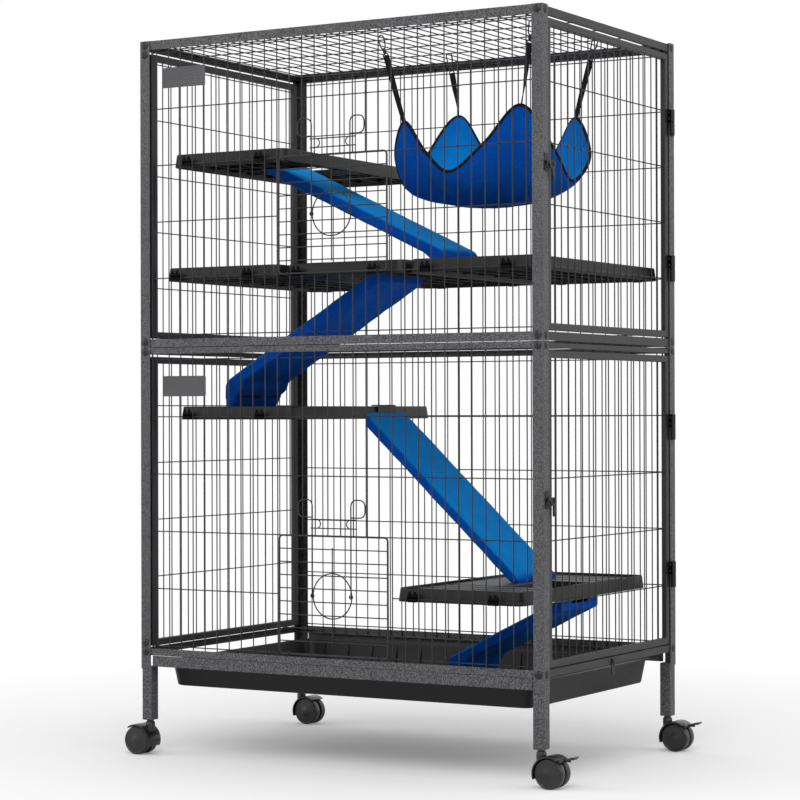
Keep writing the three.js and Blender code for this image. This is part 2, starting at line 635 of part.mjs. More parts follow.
// Swing latch: pivot on the door tube, hook that drops over the stud on the post.
const LATCH_PIVOT_Y = -(Y - POST_FLANGE - DOOR_GAP - DOOR_BAR / 2);
const LATCH_FACE = X + 3.4;
function latch(z) {
  const studY = -(Y - 11);
  const plate = join([
    box(LATCH_FACE, LATCH_FACE + 2.4, studY - 6, LATCH_PIVOT_Y + 6, z - 8.5, z + 5),
    box(LATCH_FACE, LATCH_FACE + 2.4, LATCH_PIVOT_Y - 4, LATCH_PIVOT_Y + 5, z - 26, z - 8),
    bar('x', LATCH_PIN_R, X - 8, LATCH_FACE + 4.5, LATCH_PIVOT_Y, z, 8),
  ]);
  const notch = LATCH_PIN_R + CLEAR + 0.2;
  const slot = join([
    box(LATCH_FACE - 1, LATCH_FACE + 4, studY - notch, studY + notch + LATCH_FLARE, z - 10, z),
    bar('x', overFlats(notch, 8), LATCH_FACE - 1, LATCH_FACE + 4, studY, z, 8),
  ]);
  return cut(plate, slot);
}

Object.entries(storeys).forEach(([name, storey]) => {
  const z0 = doorFoot(storey);
  const z1 = doorHead(storey);
  piece(`side_frame_${name}`, join(shortFrame(storey)), smoothGrey());
  const firstRow = rowZ(storey, 1);
  let door = join([...framedMesh(z0, z1, firstRow, storey.rowPitch), ...storey.hinges.map(hingeMoving)]);
  const pivotHole = bar('x', overFlats(LATCH_PIN_R + CLEAR, 8), X - 9, X + 1, LATCH_PIVOT_Y, storey.latch, 8);
  door = cut(door, pivotHole);
  piece(`tall_door_${name}`, door, smoothGrey());
  piece(`tall_door_latch_${name}`, latch(storey.latch), blackMetal());
  storey.hinges.forEach((z, i) => {
    piece(`hinge_${name}_${i === 0 ? 'top' : 'bottom'}`, hingeFixed(z), blackMetal());
  });
  const leftMesh = framedMesh(z0, z1, storey.leftRow, storey.rowPitch);
  const ties = [-1, 1].map((side) => box(
    X - DOOR_FACE_INSET - DOOR_DEPTH + 1, X - RAIL_FACE, Math.min(side * (Y - POST_FLANGE - 4), side * (Y - POST_FLANGE + 3)),
    Math.max(side * (Y - POST_FLANGE - 4), side * (Y - POST_FLANGE + 3)), z0 + 20, z1 - 20,
  ));
  piece(`left_panel_${name}`, join([...shortFrame(storey), ...leftMesh, ...ties]), smoothGrey()).rotation.z = HALF_TURN;
});

// ---- roof ---------------------------------------------------------------------------------
const ROOF_HEAD = TOP - SHEET - CLEAR - SHEET - CLEAR;
const ROOF_DEEP = WIRE * 2 + CLEAR + 1.4;
function roof() {
  const reachX = X - LONG_RAIL_BACK - CLEAR;
  const reachY = Y - MESH_BACK - CLEAR;
  const edge = ROOF_EDGE;
  const foot = ROOF_HEAD - ROOF_DEEP;
  const parts = [
    box(-reachX, reachX, -reachY, -reachY + edge, foot, ROOF_HEAD),
    box(-reachX, reachX, reachY - edge, reachY, foot, ROOF_HEAD),
    box(-reachX, -reachX + edge, -reachY, reachY, foot, ROOF_HEAD),
    box(reachX - edge, reachX, -reachY, reachY, foot, ROOF_HEAD),
  ];
  const closeZ = ROOF_HEAD - 0.7 - WIRE;
  for (let k = 0; k < LONG_WIRES; k += 1) {
    const x = wireX(k);
    if (Math.abs(x) > reachX - edge) continue;
    parts.push(box(x - WIRE / 2, x + WIRE / 2, -reachY + edge - 1, reachY - edge + 1, closeZ, closeZ + WIRE));
  }
  const crossZ = closeZ - CLEAR - WIRE;
  for (let k = -ROOF_CROSS_SIDE; k <= ROOF_CROSS_SIDE; k += 1) {
    const y = k * ROOF_CROSS_PITCH;
    parts.push(box(-reachX + edge - 1, reachX - edge + 1, y - WIRE / 2, y + WIRE / 2, crossZ, crossZ + WIRE));
  }
  return parts;
}
piece('roof_panel', join(roof()), hammered());

// ---- drop-down doors ----------------------------------------------------------------------
const SMALL_DOOR_Y = -(Y - WIRE_FRONT) - SMALL_DOOR_STAND + WIRE / 2;
const HANDLE_Y = SMALL_DOOR_Y - WIRE - WIRE / 2 - CLEAR - HANDLE_WIRE / 2;
function smallDoor(opening) {
  const height = opening.head - opening.foot;
  const frame = rounded([
    [0, SMALL_DOOR_Y, opening.foot], [SMALL_DOOR_HALF, SMALL_DOOR_Y, opening.foot],
    [SMALL_DOOR_HALF, SMALL_DOOR_Y, opening.head], [-SMALL_DOOR_HALF, SMALL_DOOR_Y, opening.head],
    [-SMALL_DOOR_HALF, SMALL_DOOR_Y, opening.foot], [0, SMALL_DOOR_Y, opening.foot],
  ], 7, 2);
  const overlapped = [...frame.slice(0, -1), new THREE.Vector3(1, SMALL_DOOR_Y, opening.foot)];
  const parts = [wire(overlapped, SMALL_DOOR_WIRE)];
  const rungY = SMALL_DOOR_Y - WIRE / 2;
  const pitch = height / SMALL_DOOR_ROWS;
  for (let k = 1; k < SMALL_DOOR_ROWS; k += 1) {
    const z = opening.foot + k * pitch;
    parts.push(box(-SMALL_DOOR_HALF, SMALL_DOOR_HALF, rungY, rungY + WIRE, z - WIRE / 2, z + WIRE / 2));
  }
  const spineY = rungY + BITE - WIRE;
  parts.push(box(-WIRE / 2, WIRE / 2, spineY, spineY + WIRE, opening.foot + pitch - 2, opening.head - pitch + 2));
  const outline = [[RING_R - WIRE / 2, 0], [RING_R + WIRE / 2, 0], [RING_R + WIRE / 2, WIRE], [RING_R - WIRE / 2, WIRE],
    [RING_R - WIRE / 2, 0]];
  const ring = new THREE.LatheGeometry(outline.map(([r, y]) => new THREE.Vector2(r, y)), 18);
  parts.push(toSolid(ring.translate(0, spineY, opening.foot + height / 2)));
  [-1, 1].forEach((side) => {
    const x = side * ROD_X;
    parts.push(bar('y', PIVOT_R, HANDLE_Y - HANDLE_WIRE, spineY + BITE, x, opening.foot + height / 2, 8));
  });
  return join(parts);
}

// Latch rod: pivots beside the ring, runs up over the door's top and turns out into a finger loop.
function latchRod(side, opening) {
  const pivot = opening.foot + (opening.head - opening.foot) / 2;
  const top = opening.head + HANDLE_TOP;
  const cross = opening.head + HANDLE_CROSS;
  const out = ROD_X + HANDLE_REACH;
  const half = HANDLE_WIRE / 2;
  const turn = out - HANDLE_BEND - half;
  const path = rounded([
    [side * ROD_X, 0, pivot], [side * ROD_X, 0, top],
    [side * out, 0, top], [side * out, 0, cross], [side * turn, 0, cross],
  ], HANDLE_BEND, 2);
  const loop = prismY(band(path, HANDLE_WIRE), HANDLE_Y - half, HANDLE_Y + half);
  const from = Math.min(side * ROD_X, side * (turn + BITE));
  const to = Math.max(side * ROD_X, side * (turn + BITE));
  const end = box(from, to, HANDLE_Y - half, HANDLE_Y + half, cross - half, cross + half);
  const boss = bar('y', PIVOT_R + 2.4, HANDLE_Y - HANDLE_WIRE / 2, HANDLE_Y + HANDLE_WIRE / 2, side * ROD_X, pivot, 10);
  const bore = bar('y', overFlats(PIVOT_R + CLEAR, 8), HANDLE_Y - HANDLE_WIRE, HANDLE_Y + HANDLE_WIRE, side * ROD_X, pivot, 8);
  return cut(join([loop, end, boss]), toSolid(bore));
}
[['upper', upperOpening], ['lower', lowerOpening]].forEach(([name, opening]) => {
  piece(`drop_door_${name}`, smallDoor(opening), wireGrey());
  piece(`latch_rod_${name}_left`, latchRod(-1, opening), wireGrey());
  piece(`latch_rod_${name}_right`, latchRod(1, opening), wireGrey());
});

// ---- shelves ------------------------------------------------------------------------------
// Hook over a row wire, with two prongs; outward is -1 for the front rim and 1 for the rear.
function shelfClip(x, rimY, outward, wireZ) {
  const lipFront = outward * (Y - WIRE_FRONT + CLEAR);
  const lipBack = outward * (Y - WIRE_FRONT - WIRE + BITE);
  const low = wireZ + WIRE / 2 + CLEAR;
  const half = CLIP_WIDTH / 2;
  const span = (a, b) => [Math.min(a, b), Math.max(a, b)];
  const [a0, a1] = span(rimY - outward * 1.5, lipFront);
  const [l0, l1] = span(lipBack, lipFront);
  const peaks = [
    [x - half, wireZ - 5], [x + half, wireZ - 5], [x + half, low + 2.5],
    [x + half / 2, low + 10], [x, low + 2.5], [x - half / 2, low + 10], [x - half, low + 2.5],
  ];
  return [box(x - half, x + half, a0, a1, low, low + 2.5), prismY(peaks, l0, l1)];
}

function shelf(left, wireZ, clipXs, hole, holeY = 0) {
  const foot = wireZ - SHELF_DROP;
  const cx = left + SHELF_LENGTH / 2;
  const cy = SHELF_FRONT + SHELF_DEPTH / 2;
  const hx = SHELF_LENGTH / 2;
  const hy = SHELF_DEPTH / 2;
  const ring = (inset, z) => roundedRect(cx, cy, hx - inset, hy - inset, SHELF_CORNER - inset, z, 2);
  const deckUnder = foot + SHELF_DECK_UNDER;
  const deckTop = deckUnder + SHELF_DECK;
  const head = foot + SHELF_HEIGHT;
  const body = toSolid(loft([
    ring(SHELF_WALL + SHELF_TAPER, deckUnder), ring(SHELF_WALL, foot), ring(0, foot),
    ring(SHELF_TAPER, head), ring(SHELF_WALL + SHELF_TAPER, head), ring(SHELF_WALL + SHELF_TAPER, deckTop),
  ]));
  const parts = [body];
  clipXs.forEach((x) => {
    parts.push(...shelfClip(x, SHELF_FRONT, -1, wireZ));
    parts.push(...shelfClip(x, SHELF_FRONT + SHELF_DEPTH, 1, wireZ));
  });
  const whole = join(parts);
  if (!hole) return whole;
  const half = RAMP_SLOT / 2;
  return cut(whole, box(hole[0], hole[1], holeY - half, holeY + half, deckUnder - 3, deckTop + 3));
}

const between = (k) => (wireX(k) + wireX(k + 1)) / 2;
const shelves = {
  shelf_top: [TOP_SHELF_X, rowZ(storeys.upper, 3), [between(2), between(8)],
    [TOP_SHELF_X + TOP_HOLE_START, TOP_SHELF_X + TOP_HOLE_END]],
  shelf_middle_left: [MIDDLE_LEFT_X, rowZ(storeys.upper, 1), [between(1), between(7)], null],
  shelf_middle_centre: [MIDDLE_CENTRE_X, rowZ(storeys.upper, 1), [between(11), between(17)],
    [MIDDLE_CENTRE_X + CENTRE_HOLE_START, MIDDLE_CENTRE_X + CENTRE_HOLE_END], RAMP_2_Y],
  shelf_middle_right: [MIDDLE_RIGHT_X, rowZ(storeys.upper, 1), [between(21), between(27)], null],
  shelf_lower: [LOWER_SHELF_X, rowZ(storeys.lower, 4), [between(2), between(8)], null],
  shelf_bottom: [BOTTOM_SHELF_X, rowZ(storeys.lower, 1), [between(20), between(26)],
    [BOTTOM_SHELF_X + BOTTOM_HOLE_START, BOTTOM_SHELF_X + BOTTOM_HOLE_END]],
};
Object.entries(shelves).forEach(([name, spec]) => piece(name, shelf(...spec), blackPlastic()));
const deckOf = (name) => shelves[name][1] - SHELF_DROP + SHELF_DECK_UNDER + SHELF_DECK;
const rimOf = (name) => shelves[name][1] - SHELF_DROP + SHELF_HEIGHT;
const leftOf = (name) => shelves[name][0];
const rightOf = (name) => shelves[name][0] + SHELF_LENGTH;
const holeOf = (name) => shelves[name][3];

// ---- ramps --------------------------------------------------------------------------------
// Sleeved ramp with a plumb head at xHead and a straight slope down to its nose at xNose, where
// the loose end of the sleeve hangs down to the floor. A hook in its head carries it.
function ramp({ xHead, zHead, xNose, zNose, y = 0, floor, hookZ, reach, width, deep, hang }) {
  const dir = Math.sign(xNose - xHead);
  const run = Math.abs(xNose - xHead);
  const foot = floor + CLEAR;
  const w = width / 2;
  const ring = (along, lowered, under) => {
    const top = zHead - ((zHead - zNose) * along) / run - lowered;
    const low = under ?? Math.max(top - deep, foot);
    const r = Math.min(RAMP_EDGE, (top - low) / 3);
    const section = [
      [w, low + r], [w, top - r], [w - 0.3 * r, top - 0.3 * r], [w - r, top],
      [w / 3, top + RAMP_CROWN], [-w / 3, top + RAMP_CROWN],
      [r - w, top], [0.3 * r - w, top - 0.3 * r], [-w, top - r], [-w, low + r], [r - w, low], [w - r, low],
    ];
    return section.map(([across, z]) => new THREE.Vector3(xHead + dir * along, y + dir * across, z));
  };
  const sleeve = toSolid(loft([ring(0, 0), ring(run - hang, 0), ring(run - RAMP_NOSE, 0, foot), ring(run, RAMP_NOSE, foot)]));
  const cap = hookZ + HOOK_THICK;
  const stem = [xHead, xHead + dir * HOOK_THICK];
  const lip = [xHead - dir * reach, xHead + dir * HOOK_THICK];
  const [y0, y1] = [y - HOOK_WIDTH / 2, y + HOOK_WIDTH / 2];
  const hook = [
    box(Math.min(...stem), Math.max(...stem), y0, y1, Math.min(zHead, cap) - deep / 2, cap),
    box(Math.min(...lip), Math.max(...lip), y0, y1, hookZ, cap),
  ];
  const over = box(xHead - run, xHead + run, y - width, y + width, cap, cap + run);
  return join([cut(sleeve, over), ...hook]);
}

const PAN_DECK = PAN_BOTTOM + PAN_WALL;
const inHole = (name, end) => ({
  xHead: end === 'left' ? holeOf(name)[0] + CLEAR : holeOf(name)[1] - CLEAR,
  hookZ: deckOf(name) + CLEAR,
});
const ramps = {
  ramp_1: {
    ...inHole('shelf_top', 'left'), zHead: deckOf('shelf_top') + RAMP_1_HEAD,
    xNose: leftOf('shelf_middle_centre') + RAMP_1_FOOT, zNose: deckOf('shelf_middle_centre') + RAMP_1_NOSE,
    floor: deckOf('shelf_middle_centre'), reach: HOOK_REACH, width: RAMP_1_WIDTH, deep: RAMP_1_DEEP, hang: RAMP_1_HANG,
  },
  ramp_2: {
    ...inHole('shelf_middle_centre', 'right'), zHead: deckOf('shelf_middle_centre') + RAMP_2_HEAD,
    xNose: leftOf('shelf_lower') + RAMP_2_FOOT, zNose: deckOf('shelf_lower') + RAMP_2_NOSE, y: RAMP_2_Y,
    floor: deckOf('shelf_lower'), reach: HOOK_REACH, width: RAMP_2_WIDTH, deep: RAMP_2_DEEP, hang: RAMP_2_HANG,
  },
  ramp_3: {
    xHead: rightOf('shelf_lower') + CLEAR, hookZ: rimOf('shelf_lower') + CLEAR,
    zHead: deckOf('shelf_lower') + RAMP_3_HEAD, y: RAMP_3_Y,
    xNose: leftOf('shelf_bottom') + RAMP_3_FOOT, zNose: deckOf('shelf_bottom') + RAMP_3_NOSE,
    floor: deckOf('shelf_bottom'), reach: HOOK_REACH_RIM, width: RAMP_3_WIDTH, deep: RAMP_3_DEEP, hang: RAMP_3_HANG,
  },
  ramp_4: {
    ...inHole('shelf_bottom', 'right'), zHead: deckOf('shelf_bottom') + RAMP_4_HEAD,
    xNose: leftOf('shelf_bottom') + RAMP_4_FOOT, zNose: PAN_DECK + RAMP_4_NOSE,
    floor: PAN_DECK, reach: HOOK_REACH_SHORT, width: RAMP_4_WIDTH, deep: RAMP_4_DEEP, hang: RAMP_4_HANG,
  },
};
Object.entries(ramps).forEach(([name, spec]) => piece(name, ramp(spec), blueFleece()));

// ---- pan ----------------------------------------------------------------------------------
const PAN_RIM_FOOT = LEDGE + SHEET + CLEAR;
function pan() {
  const hx = PAN_LENGTH / 2;
  const hy = PAN_WIDTH / 2;
  const ring = (inset, z) => roundedRect(0, 0, hx - inset, hy - inset, Math.max(PAN_CORNER - inset / 2, 4), z);
  const wallOut = PAN_WALL_INSET;
  const floorOut = PAN_WALL_INSET + PAN_TAPER;
  return toSolid(loft([
    ring(floorOut, PAN_BOTTOM), ring(wallOut, PAN_RIM_FOOT), ring(0, PAN_RIM_FOOT),
    ring(0, PAN_RIM_FOOT + PAN_RIM), ring(wallOut + PAN_WALL, PAN_RIM_FOOT + PAN_RIM),
    ring(floorOut + PAN_WALL, PAN_DECK),
  ]));
}
piece('pan', pan(), blackPlastic());

// Swivel clip on a side rail that keeps the pan in, drawn on +X.
const PAN_CLIP_Z = BOTTOM_RAIL + RAIL_BOTTOM / 2 - 2;
function panClip() {
  const x0 = X - RAIL_FACE + CLEAR;
  const outline = [[-5, 4], [0, 6], [5, 4], [6.5, -PAN_CLIP_LENGTH + 8], [4, -PAN_CLIP_LENGTH], [-4, -PAN_CLIP_LENGTH],
    [-6.5, -PAN_CLIP_LENGTH + 8]];
  return join([
    prismX(outline.map(([y, z]) => [y, z + PAN_CLIP_Z]), x0, x0 + 2.2),
    bar('x', 3.4, x0 + 2, x0 + 5, 0, PAN_CLIP_Z, 10),
  ]);
}
piece('pan_clip', panClip(), blackMetal());

// ---- casters ------------------------------------------------------------------------------
// Drawn with the stem on the origin's axis and the wheels trailing towards +X.
const WHEEL_Z = WHEEL_R;
const HOOD_HALF = WHEEL_GAP / 2 + WHEEL_WIDTH + 1.5;
function arc(radius, from, to, steps) {
  return Array.from({ length: steps + 1 }, (_, i) => {
    const turn = THREE.MathUtils.degToRad(from + ((to - from) * i) / steps);
    return [CASTER_TRAIL + radius * Math.cos(turn), WHEEL_Z + radius * Math.sin(turn)];
  });
}

function hood() {
  const sector = [...arc(HOOD_R, HOOD_FRONT, HOOD_REAR, 9), [CASTER_TRAIL, WHEEL_Z]];
  const hub = AXLE_R + 4;
  const cavity = HOOD_R - HOOD_WALL;
  const half = WHEEL_GAP / 2;
  const wheelRoom = (y0, y1) => bar('y', cavity, y0, y1, CASTER_TRAIL, WHEEL_Z, 20);
  const shell = join([
    prismY(sector, -HOOD_HALF, HOOD_HALF),
    bar('z', STEM_COLLAR_R, WHEEL_Z + 14, LEG_BOTTOM - CLEAR, 0, 0, 10),
    bar('z', STEM_R, LEG_BOTTOM - 3, LEG_BOTTOM + STEM_LENGTH, 0, 0, 8),
    bar('y', hub, -half + WEB_GAP, half - WEB_GAP, CASTER_TRAIL, WHEEL_Z, 12),
  ]);
  const open = cut(cut(shell, wheelRoom(half - WEB_GAP, HOOD_HALF + 1)), wheelRoom(-HOOD_HALF - 1, -half + WEB_GAP));
  return cut(open, bar('y', overFlats(AXLE_R + CLEAR, 12), -half, half, CASTER_TRAIL, WHEEL_Z, 12));
}

function wheels() {
  const inner = WHEEL_GAP / 2;
  const outer = inner + WHEEL_WIDTH;
  const profile = [[0, -outer], [WHEEL_R - 4, -outer], [WHEEL_R, -outer + 3], [WHEEL_R, -inner], [AXLE_R, -inner],
    [AXLE_R, inner], [WHEEL_R, inner], [WHEEL_R, outer - 3], [WHEEL_R - 4, outer], [0, outer]];
  const turned = profile.map(([r, y]) => new THREE.Vector2(overFlats(r, WHEEL_SIDES), y));
  return new THREE.LatheGeometry(turned, WHEEL_SIDES).rotateY(Math.PI / WHEEL_SIDES).translate(CASTER_TRAIL, 0, WHEEL_Z);
}

// Brake pedal: pivots at the front edge of the hood, between the wheels, with a flat toe plate.
const brakeTurn = THREE.MathUtils.degToRad(HOOD_FRONT - 6);
const BRAKE_X = CASTER_TRAIL + (HOOD_R - 0.6) * Math.cos(brakeTurn);
const BRAKE_Z = WHEEL_Z + (HOOD_R - 0.6) * Math.sin(brakeTurn);
function brake() {
  const toe = [[8, 1], [24, 5], [24, 7.5], [8, 4]].map(([x, z]) => [BRAKE_X + x, BRAKE_Z + z]);
  return join([
    box(BRAKE_X, BRAKE_X + 14, -1.6, 1.6, BRAKE_Z - 1.5, BRAKE_Z + 2.5),
    prismY(toe, -BRAKE_HALF, BRAKE_HALF),
    bar('y', BRAKE_PIN_R, -HOOD_HALF + 4, HOOD_HALF - 4, BRAKE_X, BRAKE_Z, 8),
  ]);
}

const legCentre = (sx, sy) => [sx * (X - LEG_INSET - LEG_SIZE / 2), sy * (Y - LEG_INSET - LEG_SIZE / 2)];
corners.forEach(([corner, sx, sy]) => {
  const trailsLeft = corner === 'front_left';
  const caster = new THREE.Group();
  const [x, y] = legCentre(sx, sy);
  caster.position.set(x, y, 0);
  caster.rotation.z = trailsLeft ? Math.PI : 0;
  cage.add(caster);
  piece(`caster_hood_${corner}`, hood(), blackPlastic(), caster);
  piece(`caster_wheels_${corner}`, wheels(), blackPlastic(), caster);
  if (sx > 0) piece(`caster_brake_${corner}`, brake(), blackPlastic(), caster);
});

// ---- hammock ------------------------------------------------------------------------------
// Rim of the sling: distances from its centre along X and Y, and below the top of the cage. It dips
// in a scoop on every side and stands up in a broad lobe at every corner, which a strap holds.
const hammockRim = new THREE.CatmullRomCurve3([
  [-108, -127, 158.5], [-64, -132, 213], [-15, -131, 249.5], [51, -128, 203],
  [117, -120, 142.5], [161, -83, 215.5], [152, 7, 263.5], [160, 62, 215.5],
  [116, 95, 143.5], [65, 108, 206], [-5, 127, 245.5], [-84, 130, 190],
  [-134, 117, 122.5], [-164, 55, 195], [-148, -41, 267.5], [-143, -98, 215.5],
].map(([x, y, drop]) => new THREE.Vector3(HAMMOCK_X + x, HAMMOCK_Y + y, TOP - drop)), true, 'catmullrom', 0.5);

// Point of the cloth: u and v run from -1 to 1 across it, and its four corners are the lobes.
function hammockPoint(u, v) {
  const out = Math.max(Math.abs(u), Math.abs(v), 1e-6);
  let turn = 7 - v / out;
  if (v <= -out) turn = 1 + u / out;
  else if (u >= out) turn = 3 + v / out;
  else if (v >= out) turn = 5 - u / out;
  const rim = hammockRim.getPoint((turn % 8) / 8);
  const spread = out * (1.3 - 0.3 * out * out);
  const rise = out ** HAMMOCK_STEEP;
  const fold = HAMMOCK_FOLD * Math.cos(2 * Math.PI * turn) * Math.sin(Math.PI * Math.min(out, 1)) ** 2;
  const foot = TOP - HAMMOCK_DROP;
  return new THREE.Vector3(
    HAMMOCK_X + (rim.x - HAMMOCK_X) * spread,
    HAMMOCK_Y + (rim.y - HAMMOCK_Y) * spread,
    foot + (rim.z - foot) * rise + fold,
  );
}

// The same point moved off the cloth along its normal.
function hammockSkin(u, v, lift) {
  const du = hammockPoint(u + 0.01, v).sub(hammockPoint(u - 0.01, v));
  const dv = hammockPoint(u, v + 0.01).sub(hammockPoint(u, v - 0.01));
  return hammockPoint(u, v).addScaledVector(du.cross(dv).normalize(), lift);
}

function hammock() {
  const n = HAMMOCK_CELLS;
  const position = [];
  const index = [];
  const grid = (lift) => {
    for (let j = 0; j <= n; j += 1) {
      for (let i = 0; i <= n; i += 1) {
        const p = hammockSkin((2 * i) / n - 1, (2 * j) / n - 1, lift);
        position.push(p.x, p.y, p.z);
      }
    }
  };
  grid(HAMMOCK_THICK);
  grid(0);
  const m = n + 1;
  const under = m * m;
  for (let j = 0; j < n; j += 1) {
    for (let i = 0; i < n; i += 1) {
      const a = j * m + i;
      index.push(a, a + 1, a + m + 1, a, a + m + 1, a + m);
      index.push(under + a, under + a + m + 1, under + a + 1, under + a, under + a + m, under + a + m + 1);
    }
  }
  const side = (a, b) => index.push(a, under + a, under + b, a, under + b, b);
  for (let i = 0; i < n; i += 1) {
    side(i, i + 1);
    side(n * m + i + 1, n * m + i);
    side((i + 1) * m, i * m);
    side(i * m + n, (i + 1) * m + n);
  }
  const geometry = new THREE.BufferGeometry();
  geometry.setAttribute('position', new THREE.Float32BufferAttribute(position, 3));
  geometry.setIndex(index);
  return geometry;
}
piece('hammock', hammock(), blueFleece());

// Straps: webbing from each peak up to a snap ring round a roof wire.
const ROOF_WIRE_Z = ROOF_HEAD - 0.7 - WIRE / 2;
const straps = {
  strap_front_left: [-1, -1, wireX(STRAP_WIRE_LEFT), -120],
  strap_front_right: [1, -1, wireX(STRAP_WIRE_RIGHT), -133],
  strap_rear_left: [-1, 1, wireX(STRAP_WIRE_LEFT), 125],
  strap_rear_right: [1, 1, wireX(STRAP_WIRE_RIGHT), 110],
};
function strap(u, v, hookX, hookY) {
  const peak = hammockSkin(u, v, HAMMOCK_THICK / 2);
  const ringZ = ROOF_WIRE_Z + WIRE / 2 + CLEAR + CLIP_RING_WIRE - CLIP_RING_R;
  const inner = CLIP_RING_R - CLIP_RING_WIRE;
  const half = CLIP_RING_WIRE / 2;
  const outline = [[inner, -half], [CLIP_RING_R, -half], [CLIP_RING_R, half], [inner, half], [inner, -half]];
  const ring = new THREE.LatheGeometry(outline.map(([r, y]) => new THREE.Vector2(r, y)), 10);
  ring.translate(hookX, hookY, ringZ);
  const top = new THREE.Vector3(hookX, hookY, ringZ - CLIP_RING_R + half);
  const foot = new THREE.Vector3(peak.x, peak.y, peak.z + STRAP_SEAT);
  const along = top.clone().sub(foot).normalize();
  const flat = (p, wide, deep) => [[-1, -1], [1, -1], [1, 1], [-1, 1]]
    .map(([a, b]) => new THREE.Vector3(p.x + (a * wide) / 2, p.y + (b * deep) / 2, p.z));
  const snap = top.clone().addScaledVector(along, -SNAP_LENGTH);
  return join([
    loft([flat(foot, STRAP_WIDTH, STRAP_THICK), flat(snap, STRAP_WIDTH, STRAP_THICK)]),
    loft([flat(snap.clone().addScaledVector(along, -2), SNAP_WIDTH, SNAP_DEPTH), flat(top, SNAP_WIDTH, SNAP_DEPTH)]),
    ring,
  ]);
}
Object.entries(straps).forEach(([name, spec]) => piece(name, strap(...spec), webbing()));

// ---- origin under the middle of the whole object -------------------------------------------
const group = new THREE.Group();
group.add(cage);
group.updateMatrixWorld(true);
const bounds = new THREE.Box3().setFromObject(cage);
cage.position.set(-(bounds.min.x + bounds.max.x) / 2, -(bounds.min.y + bounds.max.y) / 2, -bounds.min.z);

export default group;
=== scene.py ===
import math

import bmesh
import bpy
from bpy.props import FloatProperty, FloatVectorProperty, IntProperty, PointerProperty
from mathutils import Matrix, Vector, noise


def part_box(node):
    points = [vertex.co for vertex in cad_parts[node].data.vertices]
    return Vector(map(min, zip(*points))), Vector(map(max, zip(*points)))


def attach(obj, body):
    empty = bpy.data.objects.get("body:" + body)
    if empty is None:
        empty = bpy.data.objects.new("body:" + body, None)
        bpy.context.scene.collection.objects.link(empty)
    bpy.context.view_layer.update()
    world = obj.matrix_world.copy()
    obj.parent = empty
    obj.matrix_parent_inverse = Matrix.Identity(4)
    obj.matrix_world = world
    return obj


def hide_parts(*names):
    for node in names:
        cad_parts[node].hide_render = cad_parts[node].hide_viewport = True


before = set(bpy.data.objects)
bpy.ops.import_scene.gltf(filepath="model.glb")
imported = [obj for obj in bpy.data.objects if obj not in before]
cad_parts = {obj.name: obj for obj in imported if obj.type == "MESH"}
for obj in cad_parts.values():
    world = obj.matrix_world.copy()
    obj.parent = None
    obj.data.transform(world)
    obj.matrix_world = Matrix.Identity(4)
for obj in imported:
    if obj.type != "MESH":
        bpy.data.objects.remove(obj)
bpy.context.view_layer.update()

bl_info = {
    "name": "Ferret cage",
    "version": (1, 0, 0),
    "blender": (4, 5, 0),
    "location": "View3D > Sidebar > Cage",
    "description": "Builds the looks of a two-storey ferret cage around its packed model",
    "category": "Object",
}

ROOF_LOW, ROOF_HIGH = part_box("roof_panel")
SHIFT = (ROOF_LOW[0] + ROOF_HIGH[0]) / 2        # the model's origin is under the whole box, not the cage

# ---- sizes in millimetres, in the cage's own frame ---------------------------------------------
CLEAR = 0.3
X = 401.0
Y = 260.0
POST_FOOT = 153.0
SPLIT = 722.5
TOP = 1267.5
FLANGE = 20.0
SHEET = 2.0
RAIL_FACE = 2.3
RAIL_BACK = 4.3
LEDGE = 9.5
CLOSE_WIRE = 5.6            # centre of the close wires behind the outer face
CROSS_WIRE = 7.75
PITCH = 25.4
LONG_WIRES = 30
SHORT_WIRES = 17
UPPER_ROW, UPPER_PITCH = 745.2, 100.2
LOWER_ROW, LOWER_PITCH = 194.2, 101.5
LEFT_ROWS = {"upper": 829.5, "lower": 315.5}
BORDER = X - FLANGE - 1.5
BOTTOM_RAIL = 177.0
RUNNER_FOOT = 157.5
LEDGE_Z = 162.0
LEG = 20.5
LEG_FOOT = 62.0
STOREYS = {
    "upper": {"foot": 726.8, "head": TOP, "foot_rail": 11.0, "head_rail": 16.0, "lip": 3.6},
    "lower": {"foot": BOTTOM_RAIL, "head": 722.2, "foot_rail": 12.5, "head_rail": 11.0, "lip": 0.0},
}
OPENING = (10, 19)          # the wires on either side of a small door
SMALL_DOOR_Y = -259.0
HANDLE_Y = -263.4
ROD_X = 38.5
DOOR_REACH = Y - FLANGE - 2
DOOR_OUT = X - 2
DOOR_IN = X - 12
HINGE_X = X + 5.5
HINGE_Y = Y - FLANGE - 1
HINGE_LEVELS = {"upper": (1124.0, 863.0), "lower": (579.5, 316.5)}
LATCH_LEVELS = {"upper": 1010.0, "lower": 464.0}
LATCH_PIVOT_Y = -(Y - FLANGE - 2 - 6)
SHELF = {"long": 240.0, "deep": 486.0, "front": -248.0, "height": 23.0, "drop": 5.0, "under": 16.0, "deck": 2.5}
STEM = (389.75, 248.75)
WHEEL_R = 25.0
TRAIL = 20.0
CORNERS = {"front_left": (-1, -1), "front_right": (1, -1), "rear_left": (-1, 1), "rear_right": (1, 1)}


def wire_x(k):
    return (k - (LONG_WIRES - 1) / 2) * PITCH


def row_z(storey, k):
    return UPPER_ROW + k * UPPER_PITCH if storey == "upper" else LOWER_ROW + k * LOWER_PITCH


